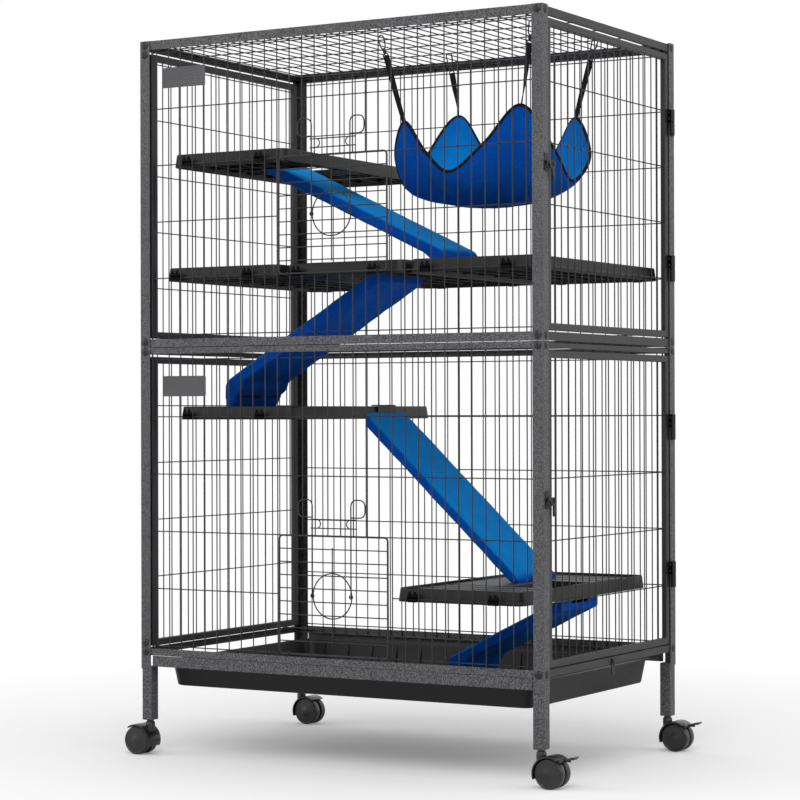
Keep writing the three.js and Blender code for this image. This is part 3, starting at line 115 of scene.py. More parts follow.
SHELVES = {
    "shelf_top": (-342.0, row_z("upper", 3), (2, 8), (-262.0, -150.0, -77.0, 77.0)),
    "shelf_middle_left": (-357.0, row_z("upper", 1), (1, 7), None),
    "shelf_middle_centre": (-104.0, row_z("upper", 1), (11, 17), (-78.0, 22.6, -140.0, 14.0)),
    "shelf_middle_right": (141.0, row_z("upper", 1), (21, 27), None),
    "shelf_lower": (-329.0, row_z("lower", 4), (2, 8), None),
    "shelf_bottom": (115.0, row_z("lower", 1), (20, 26), (244.0, 338.0, -77.0, 77.0)),
}


def deck_z(name):
    return SHELVES[name][1] - SHELF["drop"] + SHELF["under"] + SHELF["deck"]


def rim_z(name):
    return SHELVES[name][1] - SHELF["drop"] + SHELF["height"]


# ---- sizes and colours that a user may change --------------------------------------------------
def colour(name, default, text):
    return FloatVectorProperty(name=name, subtype="COLOR", size=3, min=0, max=1, default=default, description=text)


class CageSizes(bpy.types.PropertyGroup):
    mesh_wire: FloatProperty(name="Mesh wire", default=2.1, min=1, max=4, description="Thickness of the mesh wire in mm")
    border_wire: FloatProperty(name="Border wire", default=3.0, min=1.5, max=5, description="Border wire in mm")
    door_wire: FloatProperty(name="Door wire", default=3.4, min=2, max=5, description="Small doors' frame wire in mm")
    edge: FloatProperty(name="Edge radius", default=0.5, min=0.1, max=1, description="Rounding of folded steel in mm")
    piping: FloatProperty(name="Piping", default=6.0, min=2, max=10, description="Thickness of the hammock's binding in mm")
    cloth_cells: IntProperty(name="Cloth cells", default=72, min=16, max=120, description="Faces across the hammock")


class CageColours(bpy.types.PropertyGroup):
    paint: colour("Hammered paint", (0.175, 0.171, 0.181), "Light flecks of the hammered paint")
    paint_dark: colour("Paint hollows", (0.028, 0.028, 0.03), "Dark hollows of the hammered paint")
    wire: colour("Wire", (0.03, 0.03, 0.032), "Coat of the mesh wire")
    tube: colour("Tube", (0.038, 0.038, 0.04), "Coat of the tall doors' tubes")
    plastic: colour("Plastic", (0.0055, 0.0056, 0.0068), "Shelves and pan")
    rubber: colour("Casters", (0.014, 0.014, 0.0145), "Wheels and hoods")
    royal: colour("Cloth", (0.0, 0.08, 0.46), "Cloth away from the light")
    # Cloth colour where the surface looks up: painted light from above, not a colour of the nap.
    bright: colour("Cloth top light", (0.0, 0.4, 0.98), "Painted light on cloth that faces up")
    binding: colour("Binding", (0.004, 0.004, 0.0045), "Piping and straps")


# ---- shader helpers ----------------------------------------------------------------------------
class Flow:
    """A value on its way through a material; arithmetic on it adds Math nodes."""

    def __init__(self, bench, socket):
        self.bench = bench
        self.socket = socket

    def maths(self, operation, first, second):
        return self.bench.add("ShaderNodeMath", {"operation": operation}, {0: first, 1: second})

    def __add__(self, other):
        return self.maths("ADD", self, other)

    def __sub__(self, other):
        return self.maths("SUBTRACT", self, other)

    def __rsub__(self, other):
        return self.maths("SUBTRACT", other, self)

    def __mul__(self, other):
        return self.maths("MULTIPLY", self, other)

    def __truediv__(self, other):
        return self.maths("DIVIDE", self, other)

    def __pow__(self, other):
        return self.maths("POWER", self, other)

    __radd__ = __add__
    __rmul__ = __mul__

    def at_least(self, other):
        return self.maths("MAXIMUM", self, other)

    def at_most(self, other):
        return self.maths("MINIMUM", self, other)

    def step(self, low, high):
        """0 below low, 1 above high, straight in between."""
        return self.bench.add("ShaderNodeMapRange", {}, {"Value": self, "From Min": low, "From Max": high})


class Bench:
    """The node tree of one finish."""

    def __init__(self, name):
        self.material = bpy.data.materials.new(name)
        self.material.use_nodes = True
        self.tree = self.material.node_tree
        self.shader = next(n for n in self.tree.nodes if n.type == "BSDF_PRINCIPLED")
        self.place = self.add("ShaderNodeTexCoord", output="Object")

    def feed(self, socket, value):
        if isinstance(value, Flow):
            self.tree.links.new(value.socket, socket)
        elif hasattr(value, "__len__") and len(value) == 3 and socket.type == "RGBA":
            socket.default_value = (*value, 1.0)
        else:
            socket.default_value = value

    def add(self, kind, settings=None, inputs=None, output=0):
        node = self.tree.nodes.new(kind)
        for key, value in (settings or {}).items():
            setattr(node, key, value)
        for key, value in (inputs or {}).items():
            self.feed(node.inputs[key], value)
        return Flow(self, node.outputs[output])

    def mix(self, factor, low, high):
        return self.add("ShaderNodeMix", {"data_type": "RGBA"}, {0: factor, 6: low, 7: high}, 2)

    def grain(self, scale, detail=3.0, rough=0.55, stretch=None):
        place = self.place if stretch is None else self.stretched(stretch)
        return self.add("ShaderNodeTexNoise", {}, {"Vector": place, "Scale": scale, "Detail": detail, "Roughness": rough})

    def cells(self, scale, smooth=0.5):
        settings = {"feature": "SMOOTH_F1"}
        return self.add("ShaderNodeTexVoronoi", settings, {"Vector": self.place, "Scale": scale, "Smoothness": smooth})

    def stretched(self, factors):
        return self.add("ShaderNodeVectorMath", {"operation": "MULTIPLY"}, {0: self.place, 1: factors})

    def upward(self):
        """1 where the surface looks up, -1 where it looks down."""
        normal = self.add("ShaderNodeNewGeometry", output="Normal")
        return self.add("ShaderNodeSeparateXYZ", {}, {0: normal}, "Z")

    def finish(self, base, rough, metal=0.0, height=None, depth=0.0, strength=1.0, **fixed):
        self.feed(self.shader.inputs["Base Color"], base)
        self.feed(self.shader.inputs["Roughness"], rough)
        self.feed(self.shader.inputs["Metallic"], metal)
        for name, value in fixed.items():
            self.feed(self.shader.inputs[name.replace("_", " ")], value)
        if height is not None:
            bump = {"Height": height, "Distance": depth, "Strength": strength}
            self.feed(self.shader.inputs["Normal"], self.add("ShaderNodeBump", {}, bump))
        return self.material


    def glow(self, strength):
        return self.add("ShaderNodeEmission", {}, {"Color": (1.0, 1.0, 1.0), "Strength": strength}).socket

    def blend(self, first, second):
        """Two shaders added together."""
        node = self.add("ShaderNodeAddShader").socket.node
        self.tree.links.new(first, node.inputs[0])
        self.tree.links.new(second, node.inputs[1])
        return node.outputs[0]

    def choose(self, factor, first, second):
        """The first shader at 0, the second at 1."""
        node = self.add("ShaderNodeMixShader", {}, {0: factor}).socket.node
        self.tree.links.new(first, node.inputs[1])
        self.tree.links.new(second, node.inputs[2])
        return node.outputs[0]


FINISHES = {}


def finish(name):
    if name not in FINISHES:
        FINISHES[name] = MAKERS[name](bpy.context.scene.cage_colours)
    return FINISHES[name]


def hammered_paint(c):
    """Black paint with a dense pale speckle in its hammered surface."""
    b = Bench("hammered_paint")
    dimples = b.cells(430, 0.35)
    speckle = b.grain(720, 2.0, 0.6)
    broad = b.grain(14, 2.0)
    lit = speckle.step(0.42, 0.62) + (broad - 0.5) * 0.2
    base = b.mix(lit.at_least(0).at_most(1), tuple(c.paint_dark), tuple(c.paint))
    height = dimples + speckle * 0.5
    return b.finish(base, 0.42 + speckle * 0.2, 0.2, height, 0.0004, 0.6, Specular_IOR_Level=0.3)


def wire_paint(c):
    b = Bench("wire_paint")
    patch = b.grain(40, 3.0)
    fine = b.grain(700, 2.0)
    dark = tuple(v * 0.72 for v in c.wire)
    base = b.mix(patch.step(0.35, 0.65), dark, tuple(c.wire))
    return b.finish(base, 0.36 + fine * 0.16, 0.3, fine, 0.0001, 0.4, Specular_IOR_Level=0.4)


def tube_paint(c):
    b = Bench("tube_paint")
    patch = b.grain(30, 3.0)
    fine = b.grain(1300, 2.0)
    dark = tuple(v * 0.75 for v in c.tube)
    base = b.mix(patch.step(0.3, 0.7), dark, tuple(c.tube))
    return b.finish(base, 0.4 + fine * 0.14, 0.25, fine, 0.00015, 0.5, Specular_IOR_Level=0.35)


def black_paint(c):
    b = Bench("black_paint")
    fine = b.grain(900, 3.0)
    worn = b.grain(120, 4.0).step(0.62, 0.72)
    base = b.mix(worn, (0.006, 0.006, 0.0065), (0.02, 0.02, 0.021))
    return b.finish(base, 0.36 + fine * 0.2, 0.1, fine, 0.0001, 0.5, Specular_IOR_Level=0.4)


def grained_plastic(c):
    b = Bench("grained_plastic")
    grain = b.cells(1500, 0.4)
    patch = b.grain(22, 4.0)
    # Pale, glossier streaks along the depth: painted glints.
    glint_streaks = b.grain(60, 5.0, 0.7, (1, 0.15, 1)).step(0.6, 0.75)
    dark = tuple(v * 0.7 for v in c.plastic)
    pale = tuple(v * 1.7 for v in c.plastic)
    base = b.mix(glint_streaks * 0.4, b.mix(patch.step(0.3, 0.7), dark, tuple(c.plastic)), pale)
    return b.finish(base, 0.36 + grain * 0.16 - glint_streaks * 0.06, 0.0, grain, 0.00012, 0.5, Specular_IOR_Level=0.32)


def clip_plastic(c):
    b = Bench("clip_plastic")
    grain = b.grain(500, 3.0)
    base = b.mix(grain.step(0.4, 0.7), (0.0005, 0.0005, 0.0006), (0.0016, 0.0016, 0.0018))
    return b.finish(base, 0.5 + grain * 0.2, 0.0, grain, 0.0001, 0.5, Specular_IOR_Level=0.08)


def caster_plastic(c):
    b = Bench("caster_plastic")
    grain = b.grain(420, 3.0)
    dust = b.grain(45, 4.0).step(0.56, 0.78)
    base = b.mix(dust * 0.35, tuple(c.rubber), tuple(v * 3 for v in c.rubber))
    return b.finish(base, 0.28 + dust * 0.22 + grain * 0.08, 0.0, grain, 0.00008, 0.5)


def cloth(c, name, low, high):
    """Brushed fleece; the nap shows brighter where it faces the light above."""
    b = Bench(name)
    pile = b.grain(1900, 4.0, 0.75)
    clump = b.grain(210, 4.0, 0.6)
    nap = b.grain(26, 3.0)
    # Painted light: the more a face looks up, the more of the top-light colour, plus random nap and clump tone.
    lit = b.upward().step(low, high) + (nap - 0.5) * 0.35 + (clump - 0.5) * 0.3
    base = b.mix(lit.at_least(0).at_most(1), tuple(c.royal), tuple(c.bright))
    shade = b.mix(pile.step(0.25, 0.7), (0.55, 0.58, 0.62), (1.0, 1.0, 1.0))
    tint = b.add("ShaderNodeMix", {"data_type": "RGBA", "blend_type": "MULTIPLY"}, {0: 1.0, 6: base, 7: shade}, 2)
    height = pile * 0.6 + clump * 0.6
    material = b.finish(tint, 0.86 + pile * 0.12, 0.0, height, 0.0009, 0.55, Sheen_Weight=0.1, Sheen_Roughness=0.4)
    b.shader.inputs["Sheen Tint"].default_value = (0.05, 0.5, 1.0, 1.0)
    b.shader.inputs["Specular IOR Level"].default_value = 0.1
    return material


def webbing(c):
    b = Bench("webbing")
    across = b.add("ShaderNodeTexWave", {"bands_direction": "Z"}, {"Vector": b.place, "Scale": 240, "Distortion": 0.6})
    fibre = b.grain(1600, 3.0)
    base = b.mix(across * 0.6 + fibre * 0.3, tuple(c.binding), tuple(v * 3.2 for v in c.binding))
    return b.finish(base, 0.75 + fibre * 0.15, 0.0, across, 0.0004, 0.7, Specular_IOR_Level=0.15)


def binding(c):
    b = Bench("binding")
    rib = b.add("ShaderNodeTexWave", {"bands_direction": "DIAGONAL"}, {"Vector": b.place, "Scale": 330, "Distortion": 1.5})
    fibre = b.grain(1500, 3.0)
    base = b.mix(rib * 0.4 + fibre * 0.3, tuple(c.binding), tuple(v * 3 for v in c.binding))
    return b.finish(base, 0.78 + fibre * 0.15, 0.0, rib, 0.0003, 0.6, Specular_IOR_Level=0.15)


def screw_steel(c):
    b = Bench("screw_steel")
    fine = b.grain(800, 3.0)
    base = b.mix(fine.step(0.3, 0.7), (0.02, 0.02, 0.021), (0.06, 0.06, 0.062))
    return b.finish(base, 0.3 + fine * 0.2, 0.8, fine, 0.0001, 0.4)


MAKERS = {
    "hammered_paint": hammered_paint,
    "wire_paint": wire_paint,
    "tube_paint": tube_paint,
    "black_paint": black_paint,
    "grained_plastic": grained_plastic,
    "clip_plastic": clip_plastic,
    "caster_plastic": caster_plastic,
    # Their two numbers set where the painted top light begins and where it is full, by how far a face looks up.
    "ramp_cloth": lambda c: cloth(c, "ramp_cloth", 0.25, 1.1),
    "hammock_cloth": lambda c: cloth(c, "hammock_cloth", -0.05, 0.75),
    "webbing": webbing,
    "binding": binding,
    "screw_steel": screw_steel,
}


# ---- mesh helpers ------------------------------------------------------------------------------
class Shape:
    """Points and faces of one piece, in millimetres of the cage's own frame."""

    def __init__(self):
        self.points = []
        self.faces = []

    def skin(self, rings, closed=False, capped=True):
        base, n = len(self.points), len(rings[0])
        for ring in rings:
            self.points.extend(tuple(p) for p in ring)
        turns = len(rings) if closed else len(rings) - 1
        for r in range(turns):
            a, b = base + r * n, base + ((r + 1) % len(rings)) * n
            self.faces.extend((a + i, a + (i + 1) % n, b + (i + 1) % n, b + i) for i in range(n))
        if capped and not closed:
            self.faces.append(tuple(base + i for i in reversed(range(n))))
            self.faces.append(tuple(base + (len(rings) - 1) * n + i for i in range(n)))
        return self

    def box(self, x0, x1, y0, y1, z0, z1):
        foot = [(x0, y0, z0), (x1, y0, z0), (x1, y1, z0), (x0, y1, z0)]
        return self.skin([foot, [(x, y, z1) for x, y, _ in foot]])

    def prism(self, axis, outline, low, high):
        """Outline in the other two axes, in X, Y, Z order, drawn along the named axis."""
        place = {
            "x": lambda u, v, w: (w, u, v), "y": lambda u, v, w: (u, w, v), "z": lambda u, v, w: (u, v, w),
        }[axis]
        return self.skin([[place(u, v, w) for u, v in outline] for w in (low, high)])

    def tube(self, path, radius, sides=8, closed=False):
        points = [Vector(p) for p in path]
        count = len(points)
        rings = []
        side = None
        for i, p in enumerate(points):
            before = points[i - 1] if i or closed else p
            after = points[(i + 1) % count] if i + 1 < count or closed else p
            ahead = (after - p).normalized() + (p - before).normalized()
            ahead.normalize()
            if side is None:
                side = Vector((0, 0, 1)) if abs(ahead.z) < 0.9 else Vector((1, 0, 0))
            side = (side - ahead * side.dot(ahead)).normalized()
            up = ahead.cross(side)
            turns = [2 * math.pi * (k + 0.5) / sides for k in range(sides)]
            rings.append([p + side * (math.cos(t) * radius) + up * (math.sin(t) * radius) for t in turns])
        if closed:
            first, last = rings[0], rings[-1]
            shift = min(range(sides), key=lambda s: (first[0] - last[s]).length)
            if shift:
                first_turned = first[-shift:] + first[:-shift]
                rings.append(first_turned)
                return self.skin(rings)
        return self.skin(rings, closed)

    def rod(self, a, b, radius, sides=8):
        return self.tube([a, b], radius, sides)

    def lathe(self, axis, centre, profile, segments=32, closed=False):
        """Profile of (radius, place along the axis), turned about the axis through centre."""
        place = {
            "x": lambda r, t, h: (h, r * math.cos(t), r * math.sin(t)),
            "y": lambda r, t, h: (r * math.cos(t), h, r * math.sin(t)),
            "z": lambda r, t, h: (r * math.cos(t), r * math.sin(t), h),
        }[axis]
        rings = []
        for r, h in profile:
            turned = [place(r, 2 * math.pi * k / segments, h) for k in range(segments)]
            rings.append([tuple(c + d for c, d in zip(centre, p)) for p in turned])
        return self.skin(rings, closed)

    def turned(self, degrees, axis, centre=(0, 0, 0), start=0):
        spin = Matrix.Translation(centre) @ Matrix.Rotation(math.radians(degrees), 4, axis)
        spin = spin @ Matrix.Translation(-Vector(centre))
        self.points[start:] = [tuple(spin @ Vector(p)) for p in self.points[start:]]
        return self


def bend(path, radius, steps=4):
    """The path with its inner corners rounded."""
    points = [Vector(p) for p in path]
    out = [points[0]]
    for before, corner, after in zip(points, points[1:], points[2:]):
        a = corner + (before - corner).normalized() * radius
        b = corner + (after - corner).normalized() * radius
        for i in range(steps + 1):
            t = i / steps
            out.append(a * (1 - t) ** 2 + corner * (2 * t * (1 - t)) + b * t ** 2)
    return out + [points[-1]]


def rounded_rect(x, y, half_x, half_y, radius, z, steps=5):
    ring = []
    for turn, (sx, sy) in enumerate(((1, 1), (-1, 1), (-1, -1), (1, -1))):
        for i in range(steps + 1):
            angle = (turn + i / steps) * math.pi / 2
            ring.append((x + sx * (half_x - radius) + radius * math.cos(angle),
                         y + sy * (half_y - radius) + radius * math.sin(angle), z))
    return ring


def make(name, shape, look, body, stands_for=(), edge=0.0, sharp=35, segments=2):
    mesh = bpy.data.meshes.new(name)
    points = [((x * 0.001) + SHIFT, y * 0.001, z * 0.001) for x, y, z in shape.points]
    mesh.from_pydata(points, [], shape.faces)
    bm = bmesh.new()
    bm.from_mesh(mesh)
    bmesh.ops.recalc_face_normals(bm, faces=bm.faces)
    bm.to_mesh(mesh)
    bm.free()
    mesh.shade_smooth()
    mesh.set_sharp_from_angle(angle=math.radians(sharp))
    piece = bpy.data.objects.new(name, mesh)
    bpy.context.scene.collection.objects.link(piece)
    mesh.materials.append(finish(look))
    if edge:
        bevel = piece.modifiers.new("edge", "BEVEL")
        bevel.width = edge * 0.001
        bevel.segments = segments
        bevel.limit_method = "ANGLE"
        bevel.angle_limit = math.radians(40)
        bevel.harden_normals = False
    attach(piece, body)
    if stands_for:
        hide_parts(*stands_for)
    return piece


# ---- frame -------------------------------------------------------------------------------------
def build_posts(sizes):
    for corner, (sx, sy) in CORNERS.items():
        outline = [(X, Y), (X - FLANGE, Y), (X - FLANGE, Y - SHEET), (X - SHEET, Y - SHEET), (X - SHEET, Y - FLANGE),
                   (X, Y - FLANGE)]
        outline = [(sx * x, sy * y) for x, y in outline]
        upper = Shape().prism("z", outline, SPLIT + CLEAR, TOP)
        lower = Shape().prism("z", outline, POST_FOOT, SPLIT)
        make("post_upper_" + corner + "_angle", upper, "hammered_paint", "cage", ["post_upper_" + corner], sizes.edge)
        make("post_lower_" + corner + "_angle", lower, "hammered_paint", "cage", ["post_lower_" + corner], sizes.edge)
        a, b = sorted((sx * (X - 1), sx * (X - 1 - LEG)))
        c, d = sorted((sy * (Y - 1), sy * (Y - 1 - LEG)))
        leg = Shape().box(a, b, c, d, LEG_FOOT, POST_FOOT + 4)
        leg.box(a + 1, b - 1, c + 1, d - 1, LEG_FOOT - 0.2, LEG_FOOT + 6)
        make("leg_" + corner, leg, "hammered_paint", "cage", edge=1.4, segments=3)
        screws = Shape()
        levels = [TOP - 8, SPLIT + 10, SPLIT - 7, BOTTOM_RAIL + 6.25]
        if sx < 0:
            levels += [TOP - 24, BOTTOM_RAIL + 22.25]
        for z in levels:
            screw_head(screws, "y", sx * (X - FLANGE / 2), z, sy * Y, sy)
        for z in (TOP - 8, SPLIT + 10, SPLIT - 7, BOTTOM_RAIL + 6.25):
            screw_head(screws, "x", sy * (Y - FLANGE / 2), z, sx * X, sx, 1.6)
        make("screws_" + corner, screws, "screw_steel", "cage", edge=0.25)


def screw_head(shape, axis, across, z, face, out, height=2.4):
    """Domed head with a cross recess, standing on a face."""
    centre = (across, 0, z) if axis == "y" else (0, across, z)
    profile = [(0.01, face - out * 0.2), (7.2, face - out * 0.2), (7.2, face + out * height * 0.2), (6.4, face + out * height * 0.4),
               (4.6, face + out * height * 0.85), (2.2, face + out * height), (1.1, face + out * height * 0.55),
               (0.01, face + out * height * 0.5)]
    shape.lathe(axis, centre, profile, 20)


def long_rail(shape, sy, foot, height, at_head):
    ledge = foot + height - SHEET if at_head else foot
    half = X - SHEET - CLEAR
    top = foot + height
    if at_head:
        outline = [(Y - RAIL_FACE, foot), (Y - RAIL_FACE, top), (Y - RAIL_BACK - LEDGE, top),
                   (Y - RAIL_BACK - LEDGE, ledge), (Y - RAIL_BACK, ledge), (Y - RAIL_BACK, foot)]
    else:
        outline = [(Y - RAIL_FACE, foot), (Y - RAIL_FACE, top), (Y - RAIL_BACK, top), (Y - RAIL_BACK, foot + SHEET),
                   (Y - RAIL_BACK - LEDGE, foot + SHEET), (Y - RAIL_BACK - LEDGE, foot)]
    shape.prism("x", [(sy * y, z) for y, z in outline], -half, half)


def long_mesh(shape, storey, sy, opening, sizes):
    """Close wires and cross wires of a long side, with a gap for the small door."""
    s = STOREYS[storey]
    y, cross = sy * (Y - CLOSE_WIRE), sy * (Y - CROSS_WIRE)
    z0, z1 = s["foot"] + SHEET - 0.5, s["head"] - SHEET + 0.5
    r = sizes.mesh_wire / 2
    for k in range(LONG_WIRES):
        spans = [(z0, z1)]
        if opening and OPENING[0] < k < OPENING[1]:
            spans = [(z0, opening[0] + 0.8), (opening[1] - 0.8, z1)]
        for a, b in spans:
            shape.rod((wire_x(k), y, a), (wire_x(k), y, b), r)
    for side in (-1, 1):
        shape.rod((side * BORDER, sy * (Y - 6.2), z0), (side * BORDER, sy * (Y - 6.2), z1), sizes.border_wire / 2)
    for k in range(6):
        z = row_z(storey, k)
        spans = [(-BORDER, BORDER)]
        if opening and opening[0] + 2 < z < opening[1] - 2:
            spans = [(-BORDER, wire_x(OPENING[0]) + 1), (wire_x(OPENING[1]) - 1, BORDER)]
        for a, b in spans:
            shape.rod((a, cross, z), (b, cross, z), r)


def door_gap(storey):
    first = 1 if storey == "upper" else 0
    return row_z(storey, first), row_z(storey, first + 2)


def build_long_sides(sizes):
    for storey, s in STOREYS.items():
        for side, sy in (("front", -1), ("back", 1)):
            node = side + "_panel_" + storey
            rails = Shape()
            long_rail(rails, sy, s["foot"] - s["lip"], s["foot_rail"] + s["lip"], False)
            long_rail(rails, sy, s["head"] - s["head_rail"], s["head_rail"], True)
            if storey == "lower":
                half = X - FLANGE - 3
                outline = [(Y - RAIL_FACE, RUNNER_FOOT), (Y - RAIL_FACE, BOTTOM_RAIL - 0.5),
                           (Y - RAIL_BACK, BOTTOM_RAIL - 0.5), (Y - RAIL_BACK, LEDGE_Z + SHEET),
                           (232, LEDGE_Z + SHEET), (232, LEDGE_Z), (Y - RAIL_BACK, LEDGE_Z), (Y - RAIL_BACK, RUNNER_FOOT)]
                rails.prism("x", [(sy * y, z) for y, z in outline], -half, half)
            make(side + "_rails_" + storey, rails, "hammered_paint", "cage", [node], sizes.edge)
            mesh = Shape()
            opening = door_gap(storey) if side == "front" else None
            long_mesh(mesh, storey, sy, opening, sizes)
            if opening:
                door_surround(mesh, opening, sizes)
            make(side + "_mesh_" + storey, mesh, "wire_paint", "cage", sharp=50)
        plate = Shape()
        top = s["head"] - 50
        outline = [(-354 + x, top - 36 + z) for x, z in ((0, 1.5), (1.5, 0), (89.5, 0), (91, 1.5), (91, 34.5), (89.5, 36),
                                                       (1.5, 36), (0, 34.5))]
        plate.prism("y", outline, -257.0, -255.9)
        make("bare_plate_" + storey, plate, "hammered_paint", "cage", edge=0.3)


def door_surround(shape, opening, sizes):
    r = sizes.mesh_wire / 2
    for k in (OPENING[0] + 1, OPENING[1] - 1):
        x = wire_x(k)
        turns = [2 * math.pi * i / 20 for i in range(20)]
        ring = [(x, SMALL_DOOR_Y + 3.7 * math.cos(t), opening[0] + 3.7 * math.sin(t)) for t in turns]
        shape.tube(ring, 0.9, 8, True)
    levels = (opening[1] + 13, opening[1] + 28)
    y = -(Y - CLOSE_WIRE) - 1.95
    for z in levels:
        shape.rod((-46, y, z), (46, y, z), r)
    middle, half = sum(levels) / 2, (levels[1] - levels[0]) / 2
    for side in (-1, 1):
        turns = [math.pi * i / 10 - math.pi / 2 for i in range(11)]
        loop = [(side * (ROD_X - 4.5 - 8 * math.cos(t)), y - 0.6, middle + half * math.sin(t)) for t in turns]
        shape.tube(loop, r * 0.95)


def short_frame(shape, storey, side):
    """Rails of a short side and the uprights behind the post flanges."""
    s = STOREYS[storey]
    reach = Y - RAIL_BACK - CLEAR
    out, back = side * (X - RAIL_FACE), side * (X - RAIL_BACK)
    foot = s["foot"]
    head = s["head"] - SHEET - CLEAR
    lo, hi = sorted((out, back))
    shape.box(lo, hi, -reach, reach, foot - s["lip"], foot + s["foot_rail"])
    shape.box(lo, hi, -reach, reach, head - s["head_rail"] + SHEET + CLEAR, head)
    for sy in (-1, 1):
        a, b = sorted((sy * reach, sy * (Y - FLANGE + 1)))
        shape.box(lo, hi, a, b, foot, head)
    a, b = sorted((back, back - side * 6))
    shape.box(a, b, -reach + 12, reach - 12, foot + SHEET + CLEAR, foot + 2 * SHEET + CLEAR)
    shape.box(a, b, -reach + 12, reach - 12, head - SHEET, head)


def door_levels(storey):
    s = STOREYS[storey]
    return s["foot"] + s["foot_rail"] + 2, s["head"] - s["head_rail"] - 4


def tube_frame(shape, storey, side):
    z0, z1 = door_levels(storey)
    a, b = sorted((side * DOOR_IN, side * DOOR_OUT))
    r, bar = DOOR_REACH, 12
    corner = [(-r, z0), (r, z0), (r, z1), (-r, z1)]
    inner = [(-r + bar, z0 + bar), (r - bar, z0 + bar), (r - bar, z1 - bar), (-r + bar, z1 - bar)]
    base = len(shape.points)
    for x in (a, b):
        shape.points.extend((x, y, z) for y, z in corner)
        shape.points.extend((x, y, z) for y, z in inner)
    for i in range(4):
        j = (i + 1) % 4
        shape.faces.append((base + i, base + j, base + 4 + j, base + 4 + i))
        shape.faces.append((base + 8 + i, base + 8 + j, base + 12 + j, base + 12 + i))
        shape.faces.append((base + i, base + j, base + 8 + j, base + 8 + i))
        shape.faces.append((base + 4 + i, base + 4 + j, base + 12 + j, base + 12 + i))


def short_mesh(shape, storey, side, first, sizes):
    z0, z1 = door_levels(storey)
    r = sizes.mesh_wire / 2
    close, cross = side * (DOOR_IN + 4), side * (DOOR_IN + 1.85)
    for k in range(SHORT_WIRES):
        y = (k - (SHORT_WIRES - 1) / 2) * PITCH
        shape.rod((close, y, z0 + 11), (close, y, z1 - 11), r)
    pitch = UPPER_PITCH if storey == "upper" else LOWER_PITCH
    z = first
    while z < z1 - 14:
        shape.rod((cross, -DOOR_REACH + 11, z), (cross, DOOR_REACH - 11, z), r)
        z += pitch


def build_short_sides(sizes):
    for storey in STOREYS:
        right = Shape()
        short_frame(right, storey, 1)
        make("side_rails_" + storey, right, "tube_paint", "cage", ["side_frame_" + storey], sizes.edge)
        left = Shape()
        short_frame(left, storey, -1)
        make("left_rails_" + storey, left, "tube_paint", "cage", ["left_panel_" + storey], sizes.edge)
        tubes = Shape()
        tube_frame(tubes, storey, -1)
        make("left_tubes_" + storey, tubes, "tube_paint", "cage", edge=1.6, segments=3)
        mesh = Shape()
        short_mesh(mesh, storey, -1, LEFT_ROWS[storey], sizes)
        make("left_mesh_" + storey, mesh, "wire_paint", "cage", sharp=50)


def build_tall_doors(sizes):
    for storey in STOREYS:
        body = "door_" + storey
        tubes = Shape()
        tube_frame(tubes, storey, 1)
        make("tall_door_tubes_" + storey, tubes, "tube_paint", body, ["tall_door_" + storey], 1.6, segments=3)
        mesh = Shape()
        short_mesh(mesh, storey, 1, row_z(storey, 1), sizes)
        make("tall_door_mesh_" + storey, mesh, "wire_paint", body, sharp=50)


def build_hinges(sizes):
    for storey, levels in HINGE_LEVELS.items():
        moving = Shape()
        for place, z in zip(("top", "bottom"), levels):
            fixed = Shape()
            foot, head = z - 23, z + 23
            fixed.box(X + 0.3, X + 2.3, HINGE_Y + 5.2, Y - 3, foot, head)
            fixed.box(X + 0.3, X + 2.3, HINGE_Y, HINGE_Y + 6, foot, z - 0.3)
            knuckle(fixed, foot, z - 0.3)
            for dz in (-15, 15):
                fixed.lathe("x", (0, Y - 7.4, z + dz), [(0.01, X + 2), (2.6, X + 2), (2.4, X + 3), (0.01, X + 3.4)], 16)
            name = "hinge_" + storey + "_" + place
            make(name + "_leaf", fixed, "black_paint", "cage", [name], 0.4)
            knuckle(moving, z + 0.3, head)
            moving.box(X + 1.2, X + 3.2, HINGE_Y - 14, HINGE_Y, z + 0.3, head)
            moving.box(DOOR_OUT - 0.2, X + 3.2, HINGE_Y - 14, HINGE_Y - 4, z + 0.3, head)
            for dz in (6, 17):
                moving.lathe("x", (0, HINGE_Y - 9, z + dz), [(0.01, X + 3), (2.2, X + 3), (2, X + 3.8), (0.01, X + 4.1)], 16)
        make("hinge_door_leaves_" + storey, moving, "black_paint", "door_" + storey, edge=0.4)


def knuckle(shape, foot, head):
    profile = [(0.01, foot), (3.9, foot), (4.6, foot + 0.7), (4.6, head - 0.7), (3.9, head), (0.01, head)]
    shape.lathe("z", (HINGE_X, HINGE_Y, 0), profile, 24)


